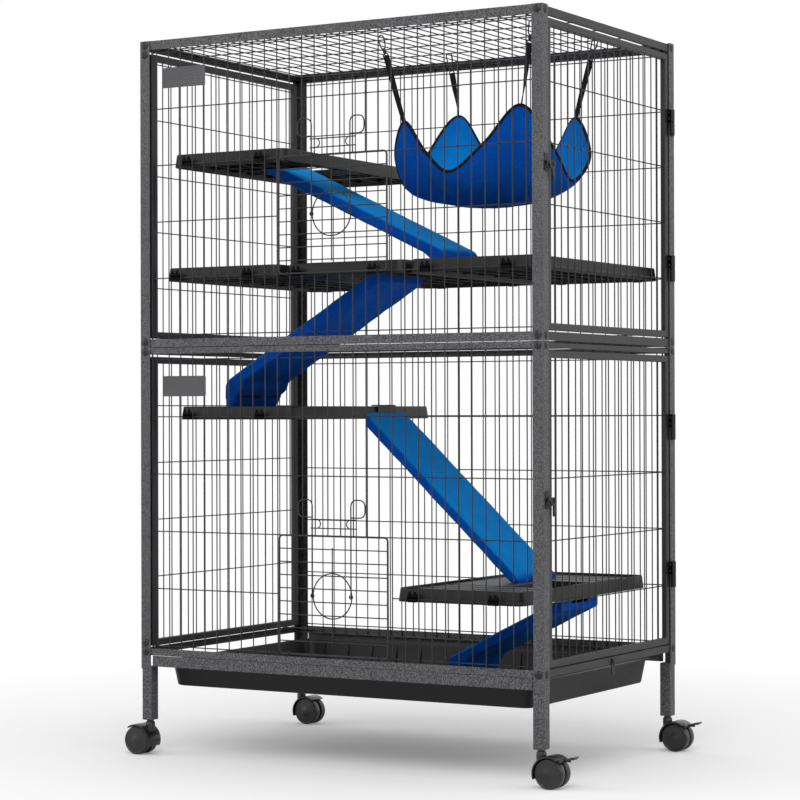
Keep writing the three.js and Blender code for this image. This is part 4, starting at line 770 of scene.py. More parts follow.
def build_latches(sizes):
    stud_y = -(Y - 11)
    face = X + 3.4
    for storey, z in LATCH_LEVELS.items():
        plate = Shape()
        outline = [(stud_y - 6, z - 8), (stud_y - 3, z - 8), (stud_y - 3, z), (stud_y - 1.6, z + 2.6), (stud_y + 1.6, z + 2.6),
                   (stud_y + 3, z), (stud_y + 5.4, z - 8), (LATCH_PIVOT_Y - 4, z - 9), (LATCH_PIVOT_Y - 4, z - 22),
                   (LATCH_PIVOT_Y - 2, z - 26), (LATCH_PIVOT_Y + 3, z - 26), (LATCH_PIVOT_Y + 5, z - 22),
                   (LATCH_PIVOT_Y + 6, z - 6), (LATCH_PIVOT_Y + 5, z + 4), (LATCH_PIVOT_Y + 2, z + 5), (stud_y - 3, z + 5),
                   (stud_y - 6, z + 3)]
        plate.prism("x", outline, face, face + 2.4)
        pivot = [(0.01, DOOR_OUT - 6), (2.5, DOOR_OUT - 6), (2.5, face + 2.4), (4.2, face + 2.4), (3.6, face + 4.2), (0.01, face + 4.8)]
        plate.lathe("x", (0, LATCH_PIVOT_Y, z), pivot, 24)
        tab = len(plate.points)
        plate.box(face - 0.5, face + 3.5, LATCH_PIVOT_Y - 2.6, LATCH_PIVOT_Y + 3.6, z - 26, z - 21)
        make("latch_lever_" + storey, plate, "black_paint", "latch_" + storey, ["tall_door_latch_" + storey], 0.4)
        keeper = Shape()
        stud = [(0.01, X - 0.5), (2.5, X - 0.5), (2.5, X + 6.4), (1.8, X + 7.2), (0.01, X + 7.3)]
        keeper.lathe("x", (0, stud_y, z), stud, 20)
        keeper.box(X - 0.2, X + 2.2, stud_y - 7, stud_y + 7, z - 13, z - 9)
        keeper.box(X - 0.2, X + 1.2, stud_y - 7, stud_y + 7, z - 13, z + 16)
        make("latch_keeper_" + storey, keeper, "black_paint", "cage", edge=0.4)


def build_small_doors(sizes):
    r = sizes.mesh_wire / 2
    frame_r = sizes.door_wire / 2
    for storey in STOREYS:
        foot, head = door_gap(storey)
        door = Shape()
        half = 108
        loop = [(0, SMALL_DOOR_Y, foot), (half, SMALL_DOOR_Y, foot), (half, SMALL_DOOR_Y, head), (-half, SMALL_DOOR_Y, head),
                (-half, SMALL_DOOR_Y, foot), (0, SMALL_DOOR_Y, foot)]
        door.tube(bend(loop, 7)[:-1], frame_r, 10, True)
        pitch = (head - foot) / 9
        for k in range(1, 9):
            door.rod((-half, SMALL_DOOR_Y, foot + k * pitch), (half, SMALL_DOOR_Y, foot + k * pitch), r)
        spine = SMALL_DOOR_Y - 1.9
        door.rod((0, spine, foot + pitch - 3), (0, spine, head - pitch + 3), r)
        middle = (foot + head) / 2
        turns = [2 * math.pi * i / 48 for i in range(48)]
        door.tube([(38.5 * math.cos(t), spine, middle + 38.5 * math.sin(t)) for t in turns], r * 1.05, 8, True)
        for side in (-1, 1):
            door.rod((side * ROD_X, spine + 0.5, middle), (side * ROD_X, HANDLE_Y - 2, middle), 1.3, 12)
        make("small_door_" + storey, door, "wire_paint", "drop_" + storey, ["drop_door_" + storey], sharp=50)
        for name, side in (("left", -1), ("right", 1)):
            rod = Shape()
            out, high, low = side * (ROD_X + 28), head + 62, head + 32
            path = [(side * ROD_X, HANDLE_Y, middle + 3), (side * ROD_X, HANDLE_Y, high), (out, HANDLE_Y, high),
                    (out, HANDLE_Y, low), (side * (ROD_X + 0.5), HANDLE_Y, low)]
            rod.tube(bend(path, 12, 7), 1.15, 8)
            coil = [2 * math.pi * i / 20 for i in range(20)]
            rod.tube([(side * ROD_X + 3 * math.cos(t), HANDLE_Y, middle + 3 * math.sin(t)) for t in coil], 1.1, 8, True)
            node = "latch_rod_" + storey + "_" + name
            make(node + "_wire", rod, "wire_paint", "rod_" + storey + "_" + name, [node], sharp=50)


def build_roof(sizes):
    reach_x, reach_y = X - RAIL_BACK - CLEAR, Y - 9.2
    head = TOP - 4.6
    foot = head - 5.7
    rails = Shape()
    rails.box(-reach_x, reach_x, -reach_y, -reach_y + 12, head - 1.6, head)
    rails.box(-reach_x, reach_x, reach_y - 12, reach_y, head - 1.6, head)
    rails.box(-reach_x, -reach_x + 12, -reach_y, reach_y, head - 1.6, head)
    rails.box(reach_x - 12, reach_x, -reach_y, reach_y, head - 1.6, head)
    rails.box(-reach_x, reach_x, -reach_y, -reach_y + 1.8, foot, head)
    rails.box(-reach_x, reach_x, reach_y - 1.8, reach_y, foot, head)
    rails.box(-reach_x, -reach_x + 1.8, -reach_y, reach_y, foot, head)
    rails.box(reach_x - 1.8, reach_x, -reach_y, reach_y, foot, head)
    make("roof_rails", rails, "hammered_paint", "cage", ["roof_panel"], 0.35)
    mesh = Shape()
    r = sizes.mesh_wire / 2
    z = head - 0.7 - 1
    for k in range(LONG_WIRES):
        mesh.rod((wire_x(k), -reach_y + 2, z), (wire_x(k), reach_y - 2, z), r)
    for y in range(-200, 201, 100):
        mesh.rod((-reach_x + 2, y, z - 2.05), (reach_x - 2, y, z - 2.05), r)
    make("roof_mesh", mesh, "wire_paint", "cage", sharp=50)


# ---- shelves and pan ---------------------------------------------------------------------------
def shelf_body(left, foot, hole):
    """Rimmed tray with a taper, a rolled lip, a deck and a lattice of ribs below it."""
    shape = Shape()
    cx, cy = left + SHELF["long"] / 2, SHELF["front"] + SHELF["deep"] / 2
    hx, hy = SHELF["long"] / 2, SHELF["deep"] / 2

    def ring(inset, z):
        return rounded_rect(cx, cy, hx - inset, hy - inset, 18 - inset, z)
    deck_low, deck_high, head = foot + SHELF["under"], foot + 18.5, foot + SHELF["height"]
    rings = [ring(5.5, deck_low), ring(3.4, foot + 1), ring(2.5, foot), ring(0.8, foot), ring(0, foot + 0.9),
             ring(0.9, foot + 8), ring(2.6, head - 2.2), ring(3.2, head - 0.6), ring(4.0, head), ring(5.0, head - 0.4),
             ring(5.5, head - 1.6), ring(5.5, deck_high + 0.6), ring(6.2, deck_high)]
    base = len(shape.points)
    shape.skin(rings, capped=False)
    n = len(rings[0])
    for level, z in ((0, deck_low), (len(rings) - 1, deck_high)):
        outer = [base + level * n + i for i in range(n)]
        if hole is None:
            shape.faces.append(tuple(outer))
            continue
        start = len(shape.points)
        corners = [(hole[1], hole[3]), (hole[0], hole[3]), (hole[0], hole[2]), (hole[1], hole[2])]
        shape.points.extend((x, y, z) for x, y in corners)
        quarter = n // 4
        for q in range(4):
            arc = outer[q * quarter:(q + 1) * quarter]
            shape.faces.append(tuple(arc) + (start + q,))
            nxt = outer[((q + 1) * quarter) % n]
            shape.faces.append((arc[-1], nxt, start + (q + 1) % 4, start + q))
    if hole:
        a, b = len(shape.points) - 8, len(shape.points) - 4
        shape.faces.extend((a + q, a + (q + 1) % 4, b + (q + 1) % 4, b + q) for q in range(4))
    return shape


def shelf_ribs(left, foot, hole):
    ribs = Shape()
    low, high = foot + 6, foot + SHELF["under"] + 0.3
    x0, x1 = left + 5, left + SHELF["long"] - 5
    y0, y1 = SHELF["front"] + 5, SHELF["front"] + SHELF["deep"] - 5
    for i in range(1, 5):
        x = x0 + (x1 - x0) * i / 5
        if hole and hole[0] - 3 < x < hole[1] + 3:
            spans = [(y0, hole[2] - 2), (hole[3] + 2, y1)]
        else:
            spans = [(y0, y1)]
        for a, b in spans:
            ribs.box(x - 0.8, x + 0.8, a, b, low, high)
    for i in range(1, 8):
        y = y0 + (y1 - y0) * i / 8
        if hole and hole[2] - 3 < y < hole[3] + 3:
            spans = [(x0, hole[0] - 2), (hole[1] + 2, x1)]
        else:
            spans = [(x0, x1)]
        for a, b in spans:
            if b - a > 4:
                ribs.box(a, b, y - 0.8, y + 0.8, low, high)
    if hole:
        ribs.box(hole[0] - 2.4, hole[0] - 0.4, hole[2] - 2, hole[3] + 2, low, high)
        ribs.box(hole[1] + 0.4, hole[1] + 2.4, hole[2] - 2, hole[3] + 2, low, high)
        ribs.box(hole[0] - 2, hole[1] + 2, hole[3] + 0.4, hole[3] + 2.4, low, high)
        ribs.box(hole[0] - 2, hole[1] + 2, hole[2] - 2.4, hole[2] - 0.4, low, high)
    return ribs


def shelf_clips(shape, xs, level):
    """Arms over the row wire with a pair of pointed prongs."""
    low = level + 1.3
    for x in xs:
        for sy in (-1, 1):
            rim = SHELF["front"] + 1.5 if sy < 0 else SHELF["front"] + SHELF["deep"] - 1.5
            lip0, lip1 = sorted((sy * (Y - 4.3), sy * (Y - 6.4)))
            a, b = sorted((rim, sy * (Y - 4.3)))
            shape.box(x - 9, x + 9, a, b, low, low + 2.5)
            shape.prism("y", [(x - 9, level - 5), (x + 9, level - 5), (x + 9, low + 2.5), (x - 9, low + 2.5)], lip0, lip1)
            for side in (-1, 1):
                middle = x + side * 4.8
                tip = [(middle - 4.8, low + 2.3), (middle + 4.8, low + 2.3), (middle + 1, low + 12), (middle - 1, low + 12)]
                shape.prism("y", tip, lip0, lip1)


def build_shelves(sizes):
    for name, (left, level, clips, hole) in SHELVES.items():
        foot = level - SHELF["drop"]
        make(name + "_tray", shelf_body(left, foot, hole), "grained_plastic", "cage", [name], sharp=38)
        make(name + "_ribs", shelf_ribs(left, foot, hole), "grained_plastic", "cage", edge=0.2)
        hooks = Shape()
        shelf_clips(hooks, [(wire_x(k) + wire_x(k + 1)) / 2 for k in clips], level)
        make(name + "_clips", hooks, "clip_plastic", "cage", edge=0.3)
        grid = Shape()
        deck = foot + 18.5
        for i in range(1, 12):
            y = SHELF["front"] + SHELF["deep"] * i / 12
            if hole and hole[2] - 3 < y < hole[3] + 3:
                continue
            grid.box(left + 12, left + SHELF["long"] - 12, y - 1.2, y + 1.2, deck - 0.1, deck + 0.7)
        make(name + "_treads", grid, "grained_plastic", "cage", edge=0.3)


def build_pan(sizes):
    pan = Shape()
    hx, hy = 373.0, 239.0
    foot, deck, rim = 122.0, 124.5, 164.3

    def ring(inset, z):
        return rounded_rect(0, 0, hx - inset, hy - inset, max(26 - inset / 2, 4), z, 8)
    rings = [ring(21, foot), ring(18, foot + 0.8), ring(16.4, foot + 3), ring(9.8, rim - 2), ring(8.6, rim), ring(1.4, rim - 0.2),
             ring(0.3, rim + 0.6), ring(0, rim + 1.6), ring(0.4, rim + 2.6), ring(1.6, rim + 3), ring(10.4, rim + 3),
             ring(11.6, rim + 2.4), ring(12.3, rim), ring(18.6, deck + 3), ring(20.4, deck + 0.8), ring(23, deck)]
    pan.skin(rings)
    make("pan_shell", pan, "grained_plastic", "pan", ["pan"], sharp=40)
    ribs = Shape()
    for i in range(1, 14):
        x = -hx + 2 * hx * i / 14
        for sy in (-1, 1):
            wall = [(sy * 219.6, deck + 0.2), (sy * 222.0, deck + 3), (sy * 227.0, rim - 4), (sy * 224.6, rim - 4), (sy * 216.5, deck + 0.2)]
            ribs.prism("x", wall, x - 1.5, x + 1.5)
    for i in range(1, 6):
        y = -216 + 432 * i / 6
        ribs.box(-340, 340, y - 2, y + 2, deck - 0.1, deck + 1.6)
    make("pan_ribs", ribs, "grained_plastic", "pan", edge=0.5)
    clip = Shape()
    z = BOTTOM_RAIL + 4.25
    outline = []
    for i in range(13):
        t = math.pi * i / 12
        outline.append((5.2 * math.cos(t), z + 1 + 5.2 * math.sin(t)))
    outline += [(-6.3, z - 13), (-5.6, z - 18), (-3.4, z - 21.4), (0, z - 22), (3.4, z - 21.4), (5.6, z - 18), (6.3, z - 13)]
    clip.prism("x", outline, X - 1.9, X + 0.1)
    clip.lathe("x", (0, 0, z), [(0.01, X), (3.4, X), (3.2, X + 1.6), (1.8, X + 2.6), (0.01, X + 2.9)], 20)
    make("pan_clip_tag", clip, "black_paint", "pan_clip", ["pan_clip"], 0.35)


# ---- casters -----------------------------------------------------------------------------------
def caster_wheels(shape):
    inner, outer = 3.0, 18.0
    axle = [(0.01, -inner - 1), (4, -inner - 1), (4, inner + 1), (0.01, inner + 1)]
    shape.lathe("y", (TRAIL, 0, WHEEL_R), axle, 20)
    for side in (-1, 1):
        profile = [(0.01, inner + 2), (8, inner + 2), (9, inner), (23.4, inner), (24.6, inner + 1), (25, inner + 2.6),
                   (25, outer - 4.0), (24.6, outer - 2.2), (23.4, outer - 0.8), (22, outer - 0.5), (21, outer - 1.3),
                   (18, outer - 1.2), (12, outer - 0.5), (7.2, outer - 0.2), (6.6, outer + 0.1), (0.01, outer + 0.4)]
        shape.lathe("y", (TRAIL, 0, WHEEL_R), [(r, side * h) for r, h in profile], 48)


def caster_hood(shape):
    """Curved cover over both wheels, the web between them and the stem's collar."""
    def arc(radius, low, high, steps):
        turns = [math.radians(low + (high - low) * i / steps) for i in range(steps + 1)]
        return [(TRAIL + radius * math.cos(t), WHEEL_R + radius * math.sin(t)) for t in turns]
    shell = arc(29, 54, 200, 28) + arc(26.6, 200, 54, 28)
    rings = []
    for y, squeeze in ((-19.5, 0.985), (-18.4, 1.0), (18.4, 1.0), (19.5, 0.985)):
        rings.append([(TRAIL + (x - TRAIL) * squeeze, y, WHEEL_R + (z - WHEEL_R) * squeeze) for x, z in shell])
    shape.skin(rings)
    web = arc(27.5, 54, 200, 24) + arc(8, 215, 400, 14)
    shape.prism("y", web, -2.2, 2.2)
    collar = [(0.01, 41), (8, 41), (8.4, 50), (8.4, 57), (7.6, 58.4), (6.2, 58.8), (6.2, 61.6), (0.01, 61.6)]
    start = len(shape.points)
    shape.lathe("z", (0, 0, 0), collar, 28)
    shape.points[start:] = [(x, y, max(z, 25 + math.sqrt(max(0, 27 ** 2 - min(27, abs(x - TRAIL)) ** 2)) if z < 50 else z))
                            for x, y, z in shape.points[start:]]
    shape.lathe("z", (0, 0, 0), [(0.01, 61), (4.1, 61), (4.1, 74), (0.01, 74)], 16)


def build_casters(sizes):
    for corner, (sx, sy) in CORNERS.items():
        turn = 180 if corner == "front_left" else 0
        stem = Vector((sx * STEM[0], sy * STEM[1], 0))

        def put(shape):
            shape.turned(turn, "Z")
            shape.points = [tuple(stem + Vector(p)) for p in shape.points]
            return shape
        wheels = Shape()
        caster_wheels(wheels)
        make("wheels_" + corner + "_pair", put(wheels), "caster_plastic", "wheels_" + corner,
             ["caster_wheels_" + corner], sharp=32)
        hood = Shape()
        caster_hood(hood)
        make("hood_" + corner, put(hood), "caster_plastic", "caster_" + corner, ["caster_hood_" + corner], 0.5, 32)
        if sx > 0:
            pedal = Shape()
            px = TRAIL + 28.4 * math.cos(math.radians(48))
            pz = WHEEL_R + 28.4 * math.sin(math.radians(48))
            toe = [(px + 8, pz + 0.6), (px + 22, pz + 4.2), (px + 24, pz + 5.6), (px + 24, pz + 7.5), (px + 21, pz + 7.4), (px + 8, pz + 4)]
            pedal.prism("y", toe, -9, 9)
            for i in range(4):
                x = px + 12 + i * 3
                pedal.box(x - 0.5, x + 0.5, -8, 8, pz + 3, pz + 5.4 + i * 0.7)
            pedal.box(px, px + 14, -1.6, 1.6, pz - 1.5, pz + 2.5)
            pedal.lathe("y", (px, 0, pz), [(0.01, -15.5), (2.6, -15.5), (2.6, 15.5), (0.01, 15.5)], 20)
            make("brake_pedal_" + corner, put(pedal), "caster_plastic", "brake_" + corner,
                 ["caster_brake_" + corner], 0.5)


# ---- ramps -------------------------------------------------------------------------------------
RAMPS = {
    "ramp_1": {"head": (-261.7, deck_z("shelf_top") + 6.7), "nose": (106.0, deck_z("shelf_middle_centre") + 32), "y": 0.0,
               "floor": deck_z("shelf_middle_centre"), "hook": deck_z("shelf_top"), "reach": 12, "width": 130,
               "deep": 23, "hang": 40, "slack": 0.6},
    "ramp_2": {"head": (22.3, deck_z("shelf_middle_centre") + 2.2), "nose": (-303.0, deck_z("shelf_lower") + 50),
               "y": -63.0, "floor": deck_z("shelf_lower"), "hook": deck_z("shelf_middle_centre"), "reach": 12,
               "width": 148, "deep": 26, "hang": 40, "slack": 1.5, "rolls": 4.0},
    "ramp_3": {"head": (-88.7, deck_z("shelf_lower") - 9), "nose": (220.0, deck_z("shelf_bottom") + 9), "y": 70.0,
               "floor": deck_z("shelf_bottom"), "hook": rim_z("shelf_lower"), "reach": 14, "width": 145,
               "deep": 24, "hang": 17, "slack": 0.9},
    "ramp_4": {"head": (337.7, deck_z("shelf_bottom") - 18), "nose": (117.0, 180.5), "y": 0.0,
               "floor": 124.5, "hook": deck_z("shelf_bottom"), "reach": 9, "width": 140,
               "deep": 22, "hang": 40, "slack": 0.8},
}
RAMP_NOSE = 7.0
RAMP_EDGE = 5.0
RAMP_CROWN = 2.0


def sleeve_levels(spec, along):
    """Top and underside of a sleeve at a distance from its head."""
    run = abs(spec["nose"][0] - spec["head"][0])
    slope = (spec["head"][1] - spec["nose"][1]) / run
    foot = spec["floor"] + CLEAR
    top = spec["head"][1] - slope * along
    low = max(top - spec["deep"], foot)
    start, end = run - spec["hang"], run - RAMP_NOSE
    if along > start:
        first = max(spec["head"][1] - slope * start - spec["deep"], foot)
        low = foot + (first - foot) * max(0.0, (end - along) / (end - start))
    if along > end:
        top -= RAMP_NOSE * (1 - math.sqrt(max(0.0, 1 - ((along - end) / RAMP_NOSE) ** 2)))
    return top, low


def sleeve_section(half, top, low):
    """Outline of a sleeve across its width: a crowned face, crisp edges and a flat underside."""
    r = min(RAMP_EDGE, (top - low) / 3)
    faces, corner, side = 28, 4, 6
    outline = [(half - r - 2 * (half - r) * i / faces, top) for i in range(faces)]
    outline = [(y, z + RAMP_CROWN * (1 - (y / half) ** 4)) for y, z in outline]
    outline += [(-half + r - r * math.sin(t), top - r + r * math.cos(t)) for t in quarter(corner)]
    outline += [(-half, top - r + (low - top + 2 * r) * i / side) for i in range(1, side)]
    outline += [(-half + r - r * math.cos(t), low + r - r * math.sin(t)) for t in quarter(corner)]
    outline += [(r - half + 2 * (half - r) * i / faces, low) for i in range(1, faces)]
    outline += [(half - r + r * math.sin(t), low + r - r * math.cos(t)) for t in quarter(corner)]
    outline += [(half, low + r + (top - low - 2 * r) * i / side) for i in range(1, side)]
    outline += [(half - r + r * math.cos(t), top - r + r * math.sin(t)) for t in quarter(corner)]
    return outline


def hang_wave(spec, across, z):
    """How far the hanging end of a sleeve lies off its plain slope, in loose rolls."""
    wave = 2.4 * spec["slack"] * noise.noise(Vector((across * 0.045, z * 0.06, 3)))
    height = max(0.0, min(46.0, z - spec["floor"]))
    return wave - spec.get("rolls", 0.0) * abs(math.sin(math.pi * height / 23))


def quarter(steps):
    return [math.pi / 2 * i / steps for i in range(steps + 1)]


def build_ramps(sizes):
    for name, spec in RAMPS.items():
        x_head, z_head = spec["head"]
        x_nose, _ = spec["nose"]
        direction = 1 if x_nose > x_head else -1
        run = abs(x_nose - x_head)
        foot = spec["floor"] + CLEAR
        cap = spec["hook"] + CLEAR + 2.2
        half = spec["width"] / 2
        slack = spec["slack"]
        steps = int((run - RAMP_NOSE) / 4)
        stations = [(run - RAMP_NOSE) * i / steps for i in range(steps + 1)]
        stations += [run - RAMP_NOSE + RAMP_NOSE * math.sin(t) for t in quarter(6)[1:]]
        sleeve = Shape()
        rings = []
        for along in stations:
            top, low = sleeve_levels(spec, along)
            loose = max(0.0, min(1.0, (along - run + spec["hang"] + 25) / 35))
            tight = min(1.0, along / 25)
            ring = []
            for y, z in sleeve_section(half, top, low):
                x = x_head + direction * along
                u = y / half
                v = (z - low) / max(top - low, 1)
                spot = Vector((x * 0.02, (y + spec["y"]) * 0.026, z * 0.03))
                wave = noise.noise(spot) + 0.5 * noise.noise(spot * 2.4)
                pull = math.sin((x * 0.7 + direction * y * 0.9) * 0.075 + 2.2 * noise.noise(spot * 0.7))
                ruck = math.sin(x * 0.16 + 3 * noise.noise(Vector((x * 0.012, z * 0.03, 4))))
                if v < 0.5:
                    z += (wave * 1.6 + pull * 1.1) * slack * tight * (1 - abs(u) ** 8)
                else:
                    z += wave * 0.9 * slack * tight
                y += (ruck * 0.8 + wave * 1.2) * slack * tight * abs(u) ** 6 * (1 if u > 0 else -1) * (1 - v)
                x += direction * loose * hang_wave(spec, y, z) * (1 - v)
                z = max(foot, min(z, cap))
                ring.append((x, spec["y"] + direction * max(-half - 1, min(half + 1, y)), z))
            rings.append(ring)
        sleeve.skin(rings)
        piece = make(name + "_sleeve", sleeve, "ramp_cloth", "cage", [name], sharp=60)
        hook = Shape()
        reach, thick, side = spec["reach"], 2.2, 30
        y0, y1 = spec["y"] - side, spec["y"] + side
        x0, x1 = sorted((x_head, x_head + direction * thick))
        hook.box(x0, x1, y0, y1, min(z_head, cap) - spec["deep"] / 2, cap)
        x0, x1 = sorted((x_head - direction * reach, x_head + direction * thick))
        hook.box(x0, x1, y0, y1, cap - thick, cap)
        make(name + "_hook", hook, "black_paint", "cage", edge=0.5)
    # A black tube across the hanging end of ramp_2's sleeve, 23 mm above the lower shelf, in the binding finish:
    # painted shadow standing for the dark fold there.
    spec = RAMPS["ramp_2"]
    run = abs(spec["nose"][0] - spec["head"][0])
    level = spec["floor"] + 23
    path = []
    for i in range(33):
        y = spec["y"] - spec["width"] / 2 + 5 + (spec["width"] - 10) * i / 32
        z = level + 2.2 * noise.noise(Vector((y * 0.03, 0, 8)))
        along = next(run - spec["hang"] + k * 0.25 for k in range(160)
                     if sleeve_levels(spec, run - spec["hang"] + k * 0.25)[1] <= z)
        path.append((spec["head"][0] - along - hang_wave(spec, y - spec["y"], z) + 0.5, y, z))
    shadow_line = Shape()
    shadow_line.tube(path, 2.4, 8)
    make("ramp_2_painted_shadow", shadow_line, "binding", "cage", sharp=60)


# ---- hammock -----------------------------------------------------------------------------------
HAMMOCK = {"x": 170.0, "y": 3.0, "drop": 303.5, "steep": 2.2, "fold": 2.5, "thick": 5.0}
# Rim of the sling: distances from its centre along X and Y, and below the top of the cage.
HAMMOCK_RIM = [Vector((HAMMOCK["x"] + x, HAMMOCK["y"] + y, TOP - drop)) for x, y, drop in (
    (-108, -127, 158.5), (-64, -132, 213), (-15, -131, 249.5), (51, -128, 203),
    (117, -120, 142.5), (161, -83, 215.5), (152, 7, 263.5), (160, 62, 215.5),
    (116, 95, 143.5), (65, 108, 206), (-5, 127, 245.5), (-84, 130, 190),
    (-134, 117, 122.5), (-164, 55, 195), (-148, -41, 267.5), (-143, -98, 215.5))]
STRAPS = {
    "strap_front_left": (-1, -1, wire_x(15), -120.0),
    "strap_front_right": (1, -1, wire_x(27), -133.0),
    "strap_rear_left": (-1, 1, wire_x(15), 125.0),
    "strap_rear_right": (1, 1, wire_x(27), 110.0),
}


def hammock_rim(turn):
    """Point of the rim; turn runs from 0 to 8 round it, on a smooth closed curve."""
    count = len(HAMMOCK_RIM)
    place = (turn % 8) / 8 * count
    i = int(place)
    t = place - i
    p0, p1, p2, p3 = (HAMMOCK_RIM[(i + k) % count] for k in (-1, 0, 1, 2))
    m1, m2 = (p2 - p0) * 0.5, (p3 - p1) * 0.5
    return (p1 * (2 * t ** 3 - 3 * t ** 2 + 1) + m1 * (t ** 3 - 2 * t ** 2 + t)
            + p2 * (3 * t ** 2 - 2 * t ** 3) + m2 * (t ** 3 - t ** 2))


def hammock_point(u, v):
    out = max(abs(u), abs(v), 1e-6)
    turn = 7 - v / out
    if v <= -out:
        turn = 1 + u / out
    elif u >= out:
        turn = 3 + v / out
    elif v >= out:
        turn = 5 - u / out
    rim = hammock_rim(turn)
    spread = out * (1.3 - 0.3 * out * out)
    fold = HAMMOCK["fold"] * math.cos(2 * math.pi * turn) * math.sin(math.pi * min(out, 1)) ** 2
    foot = TOP - HAMMOCK["drop"]
    return Vector((HAMMOCK["x"] + (rim.x - HAMMOCK["x"]) * spread, HAMMOCK["y"] + (rim.y - HAMMOCK["y"]) * spread,
                   foot + (rim.z - foot) * out ** HAMMOCK["steep"] + fold))


def hammock_skin(u, v, lift):
    du = hammock_point(u + 0.01, v) - hammock_point(u - 0.01, v)
    dv = hammock_point(u, v + 0.01) - hammock_point(u, v - 0.01)
    return hammock_point(u, v) + du.cross(dv).normalized() * lift


def cloth_wave(p):
    spot = p * 0.012
    return noise.noise(spot) * 2.2 + noise.noise(spot * 2.7 + Vector((5, 1, 2))) * 0.9


def build_hammock(sizes):
    n = sizes.cloth_cells
    sling = Shape()
    m = n + 1
    for lift in (HAMMOCK["thick"], 0.6):
        for j in range(m):
            for i in range(m):
                u, v = 2 * i / n - 1, 2 * j / n - 1
                hem = min(1.0, (1 - max(abs(u), abs(v))) * 6)
                p = hammock_skin(u, v, lift)
                p.z += cloth_wave(p) * hem
                sling.points.append(tuple(p))
    under = m * m
    for j in range(n):
        for i in range(n):
            a = j * m + i
            sling.faces.append((a, a + 1, a + m + 1, a + m))
            sling.faces.append((under + a, under + a + m, under + a + m + 1, under + a + 1))
    edge = [j for j in range(n)] + [n + m * j for j in range(n)] + [n * m + n - i for i in range(n)] + [m * (n - j) for j in range(n)]
    for a, b in zip(edge, edge[1:] + edge[:1]):
        sling.faces.append((a, b, under + b, under + a))
    area = sum(
        (hammock_skin(2 * (i + 1) / n - 1, 2 * j / n - 1, 2.5) - hammock_skin(2 * i / n - 1, 2 * j / n - 1, 2.5)).cross(
            hammock_skin(2 * i / n - 1, 2 * (j + 1) / n - 1, 2.5) - hammock_skin(2 * i / n - 1, 2 * j / n - 1, 2.5)).length
        for i in range(n) for j in range(n)) * 1e-6
    piece = make("hammock_sling", sling, "hammock_cloth", "cage", ["hammock"], sharp=60)
    rim = [(i / n * 2 - 1, -1) for i in range(n)] + [(1, j / n * 2 - 1) for j in range(n)]
    rim += [(1 - i / n * 2, 1) for i in range(n)] + [(-1, 1 - j / n * 2) for j in range(n)]
    piping = Shape()
    piping.tube([hammock_skin(u, v, 2.5) for u, v in rim], sizes.piping / 2, 12, True)
    band = make("hammock_piping", piping, "binding", "cage", sharp=60)


def strap_ribbon(shape, foot, top, width, thick, turn_low, turn_high):
    """Webbing between two points, twisted from one angle at its foot to another at its top."""
    ahead = (top - foot).normalized()
    across = (Vector((1, 0, 0)) - ahead * ahead.x).normalized()
    out = ahead.cross(across)
    half, deep = width / 2, thick / 2
    rings = []
    for i in range(25):
        s = i / 24
        twist = turn_low + (turn_high - turn_low) * s * s * (3 - 2 * s)
        a = across * math.cos(twist) + out * math.sin(twist)
        o = out * math.cos(twist) - across * math.sin(twist)
        centre = foot.lerp(top, s) + o * (math.sin(s * math.pi) * 1.2)
        rings.append([centre + a * x + o * y for x, y in ((-half, -deep), (half, -deep), (half, deep), (-half, deep))])
    shape.skin(rings)


def snap_clip(shape, top, ahead, across):
    """Oblong hook over the roof wire, its swivel and the eye that the webbing goes through."""
    wide, tall, wire = 5.6, 25.0, 1.15
    loop = []
    for i in range(13):
        t = math.pi * i / 12
        loop.append(top + across * (wide * math.cos(t)) + ahead * (wide * math.sin(t) - wide))
    for i in range(13):
        t = math.pi + math.pi * i / 12
        loop.append(top + across * (wide * 0.8 * math.cos(t)) + ahead * (wide * math.sin(t) - tall + wide))
    shape.tube(loop, wire, 10, True)
    gate = [top + across * wide + ahead * h for h in (-wide - 2, -wide - 9)]
    shape.rod(gate[0], gate[1], wire * 1.25, 10)
    out = ahead.cross(across)
    rings = []
    for h, r in ((-tall + 1, 1.9), (-tall - 1, 2.9), (-tall - 4, 3.1), (-tall - 7, 3.1), (-tall - 8, 2.2), (-tall - 9.5, 1.6)):
        turns = [2 * math.pi * k / 16 for k in range(16)]
        rings.append([top + ahead * h + across * (r * math.cos(t)) + out * (r * math.sin(t)) for t in turns])
    shape.skin(rings)
    low = top - ahead * (tall + 12)
    corners = [low + across * x + ahead * h for x, h in ((-3.4, 3), (-5.4, -2), (5.4, -2), (3.4, 3), (-3.4, 3))]
    shape.tube(bend(corners, 1.4, 3)[:-1], 1.05, 8, True)
    return low - ahead * 2


def build_straps(sizes):
    wire_z = TOP - 4.6 - 0.7 - 1
    for name, (u, v, hook_x, hook_y) in STRAPS.items():
        peak = hammock_skin(u, v, HAMMOCK["thick"] / 2)
        top = Vector((hook_x, hook_y, wire_z + 1 + CLEAR + 1.2))
        ahead = (top - peak).normalized()
        across = (Vector((1, 0, 0)) - ahead * ahead.x).normalized()
        clip = Shape()
        eye = snap_clip(clip, top, ahead, across)
        make(name + "_snap", clip, "black_paint", "cage", sharp=40)
        strap = Shape()
        turn = 1.25 if u * v > 0 else -1.25
        strap_ribbon(strap, peak - Vector((0, 0, 3)), eye + ahead * 1.5, 9.5, 1.8, turn, 0.25)
        strap_ribbon(strap, eye - ahead * 26 + Vector((0, 1.9, 0)), eye + ahead * 1.5 + Vector((0, 1.9, 0)), 9.5, 1.5, 0.1, 0.25)
        make(name + "_web", strap, "webbing", "cage", [name], edge=0.3)


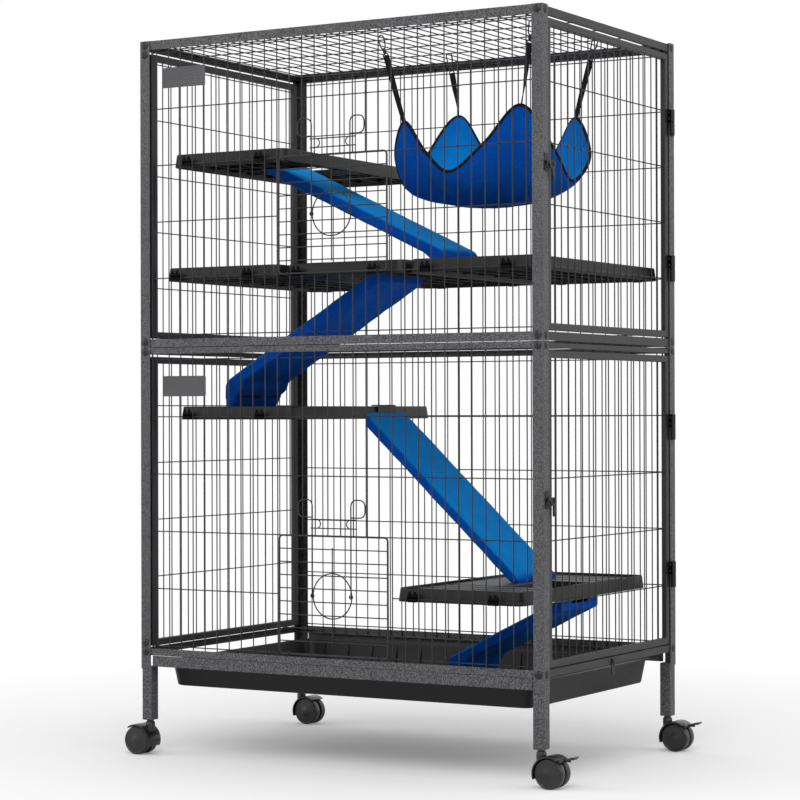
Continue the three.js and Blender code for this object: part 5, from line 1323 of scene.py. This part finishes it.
# ---- stage -------------------------------------------------------------------------------------
def build_stage():
    scene = bpy.context.scene
    scene.view_settings.view_transform = "Standard"
    mesh = bpy.data.meshes.new("floor")
    mesh.from_pydata([(-12, -12, 0), (12, -12, 0), (12, 12, 0), (-12, 12, 0)], [], [(0, 1, 2, 3)])
    floor = bpy.data.objects.new("floor", mesh)
    scene.collection.objects.link(floor)
    b = Bench("pale_floor")
    b.finish((0.9, 0.9, 0.9), 0.9, Specular_IOR_Level=0.0)
    near = b.blend(b.shader.outputs[0], b.glow(0.16))
    away = b.add("ShaderNodeVectorMath", {"operation": "LENGTH"}, {0: b.place}, "Value")
    seen = b.choose(away.step(0.5, 1.6), near, b.glow(1.0))
    camera_ray = b.add("ShaderNodeLightPath", output="Is Camera Ray")
    last = b.choose(camera_ray, b.shader.outputs[0], seen)
    b.tree.links.new(last, next(n for n in b.tree.nodes if n.type == "OUTPUT_MATERIAL").inputs["Surface"])
    pale = b.material
    mesh.materials.append(pale)

    world = bpy.data.worlds.new("studio")
    scene.world = world
    world.use_nodes = True
    tree = world.node_tree
    back = tree.nodes["Background"]
    back.inputs["Color"].default_value = (1, 1, 1, 1)
    rays = tree.nodes.new("ShaderNodeLightPath")
    seen = tree.nodes.new("ShaderNodeMath")
    seen.operation = "MAXIMUM"
    tree.links.new(rays.outputs["Is Camera Ray"], seen.inputs[0])
    tree.links.new(rays.outputs["Is Glossy Ray"], seen.inputs[1])
    power = tree.nodes.new("ShaderNodeMapRange")
    power.inputs["To Min"].default_value = 0.62
    power.inputs["To Max"].default_value = 1.0
    tree.links.new(seen.outputs[0], power.inputs["Value"])
    tree.links.new(power.outputs[0], back.inputs["Strength"])

    lamps = (("key", (1.2, -3.2, 3.4), (0, 0, 0.7), 2.4, 62.0), ("fill", (-3.4, -2.2, 1.8), (0, 0, 0.6), 2.2, 22.0),
             ("side", (3.4, 0.6, 1.8), (0, 0, 0.7), 1.8, 20.0))
    for name, place, aim, size, watts in lamps:
        light = bpy.data.lights.new(name, "AREA")
        light.size = size
        light.energy = watts
        lamp = bpy.data.objects.new(name, light)
        lamp.location = place
        lamp.rotation_euler = (Vector(aim) - Vector(place)).to_track_quat("-Z", "Y").to_euler()
        scene.collection.objects.link(lamp)

    yaw, pitch, roll = -0.5296, 0.0043, -0.0026
    ahead = Vector((math.sin(yaw) * math.cos(pitch), math.cos(yaw) * math.cos(pitch), math.sin(pitch)))
    right = ahead.cross(Vector((0, 0, 1))).normalized()
    up = right.cross(ahead)
    level_right = right * math.cos(roll) + up * math.sin(roll)
    level_up = up * math.cos(roll) - right * math.sin(roll)
    data = bpy.data.cameras.new("view")
    data.sensor_width = 36
    data.lens = 2415.86 * 36 / 800
    data.clip_end = 60
    camera = bpy.data.objects.new("view", data)
    spin = Matrix((level_right, level_up, -ahead)).transposed().to_4x4()
    camera.matrix_world = Matrix.Translation((2.16733 + SHIFT, -3.7350, 0.61043)) @ spin
    scene.collection.objects.link(camera)
    scene.camera = camera


# ---- operators and panel -----------------------------------------------------------------------
def step(name, label, text, builder):
    """An operator that builds one group of pieces."""
    def execute(self, context):
        builder(context.scene.cage_sizes)
        return {"FINISHED"}
    members = {"bl_idname": "cage." + name, "bl_label": label, "__doc__": text, "execute": execute}
    return type("CAGE_OT_" + name, (bpy.types.Operator,), members)


class CAGE_OT_stage(bpy.types.Operator):
    """Adds the floor, the light and the camera"""
    bl_idname = "cage.stage"
    bl_label = "Stage"

    def execute(self, context):
        build_stage()
        return {"FINISHED"}


STEPS = (
    step("posts", "Posts", "Adds the corner posts, legs and screws", build_posts),
    step("long_sides", "Long sides", "Adds the front and back wire panels", build_long_sides),
    step("short_sides", "Short sides", "Adds the side frames and the left mesh", build_short_sides),
    step("tall_doors", "Tall doors", "Adds the two tall wire doors", build_tall_doors),
    step("hinges", "Hinges", "Adds the lift-off hinges", build_hinges),
    step("latches", "Latches", "Adds the swing latches and their keepers", build_latches),
    step("small_doors", "Small doors", "Adds the drop-down doors and latch rods", build_small_doors),
    step("roof", "Roof", "Adds the roof mesh and its frame", build_roof),
    step("shelves", "Shelves", "Adds the six shelves", build_shelves),
    step("pan", "Pan", "Adds the slide-out pan and its clip", build_pan),
    step("casters", "Casters", "Adds the four twin-wheel casters", build_casters),
    step("ramps", "Ramps", "Adds the sleeved ramps", build_ramps),
    step("hammock", "Hammock", "Adds the hammock and its piping", build_hammock),
    step("straps", "Straps", "Adds the straps and snap clips", build_straps),
)


class CAGE_PT_sidebar(bpy.types.Panel):
    """Sizes, colours and building steps of the cage"""
    bl_label = "Ferret cage"
    bl_space_type = "VIEW_3D"
    bl_region_type = "UI"
    bl_category = "Cage"

    def draw(self, context):
        for group in (context.scene.cage_sizes, context.scene.cage_colours):
            for name in group.__annotations__:
                self.layout.prop(group, name)
        for operator in (CAGE_OT_stage, *STEPS):
            self.layout.operator(operator.bl_idname)


CLASSES = (CageSizes, CageColours, CAGE_OT_stage, *STEPS, CAGE_PT_sidebar)


def register():
    for item in CLASSES:
        bpy.utils.register_class(item)
    bpy.types.Scene.cage_sizes = PointerProperty(type=CageSizes)
    bpy.types.Scene.cage_colours = PointerProperty(type=CageColours)


def unregister():
    del bpy.types.Scene.cage_colours
    del bpy.types.Scene.cage_sizes
    for item in reversed(CLASSES):
        bpy.utils.unregister_class(item)


def main():
    register()
    for operator in (CAGE_OT_stage, *STEPS):
        getattr(bpy.ops.cage, operator.bl_idname.split(".")[1])()


if __name__ == "__main__":
    main()
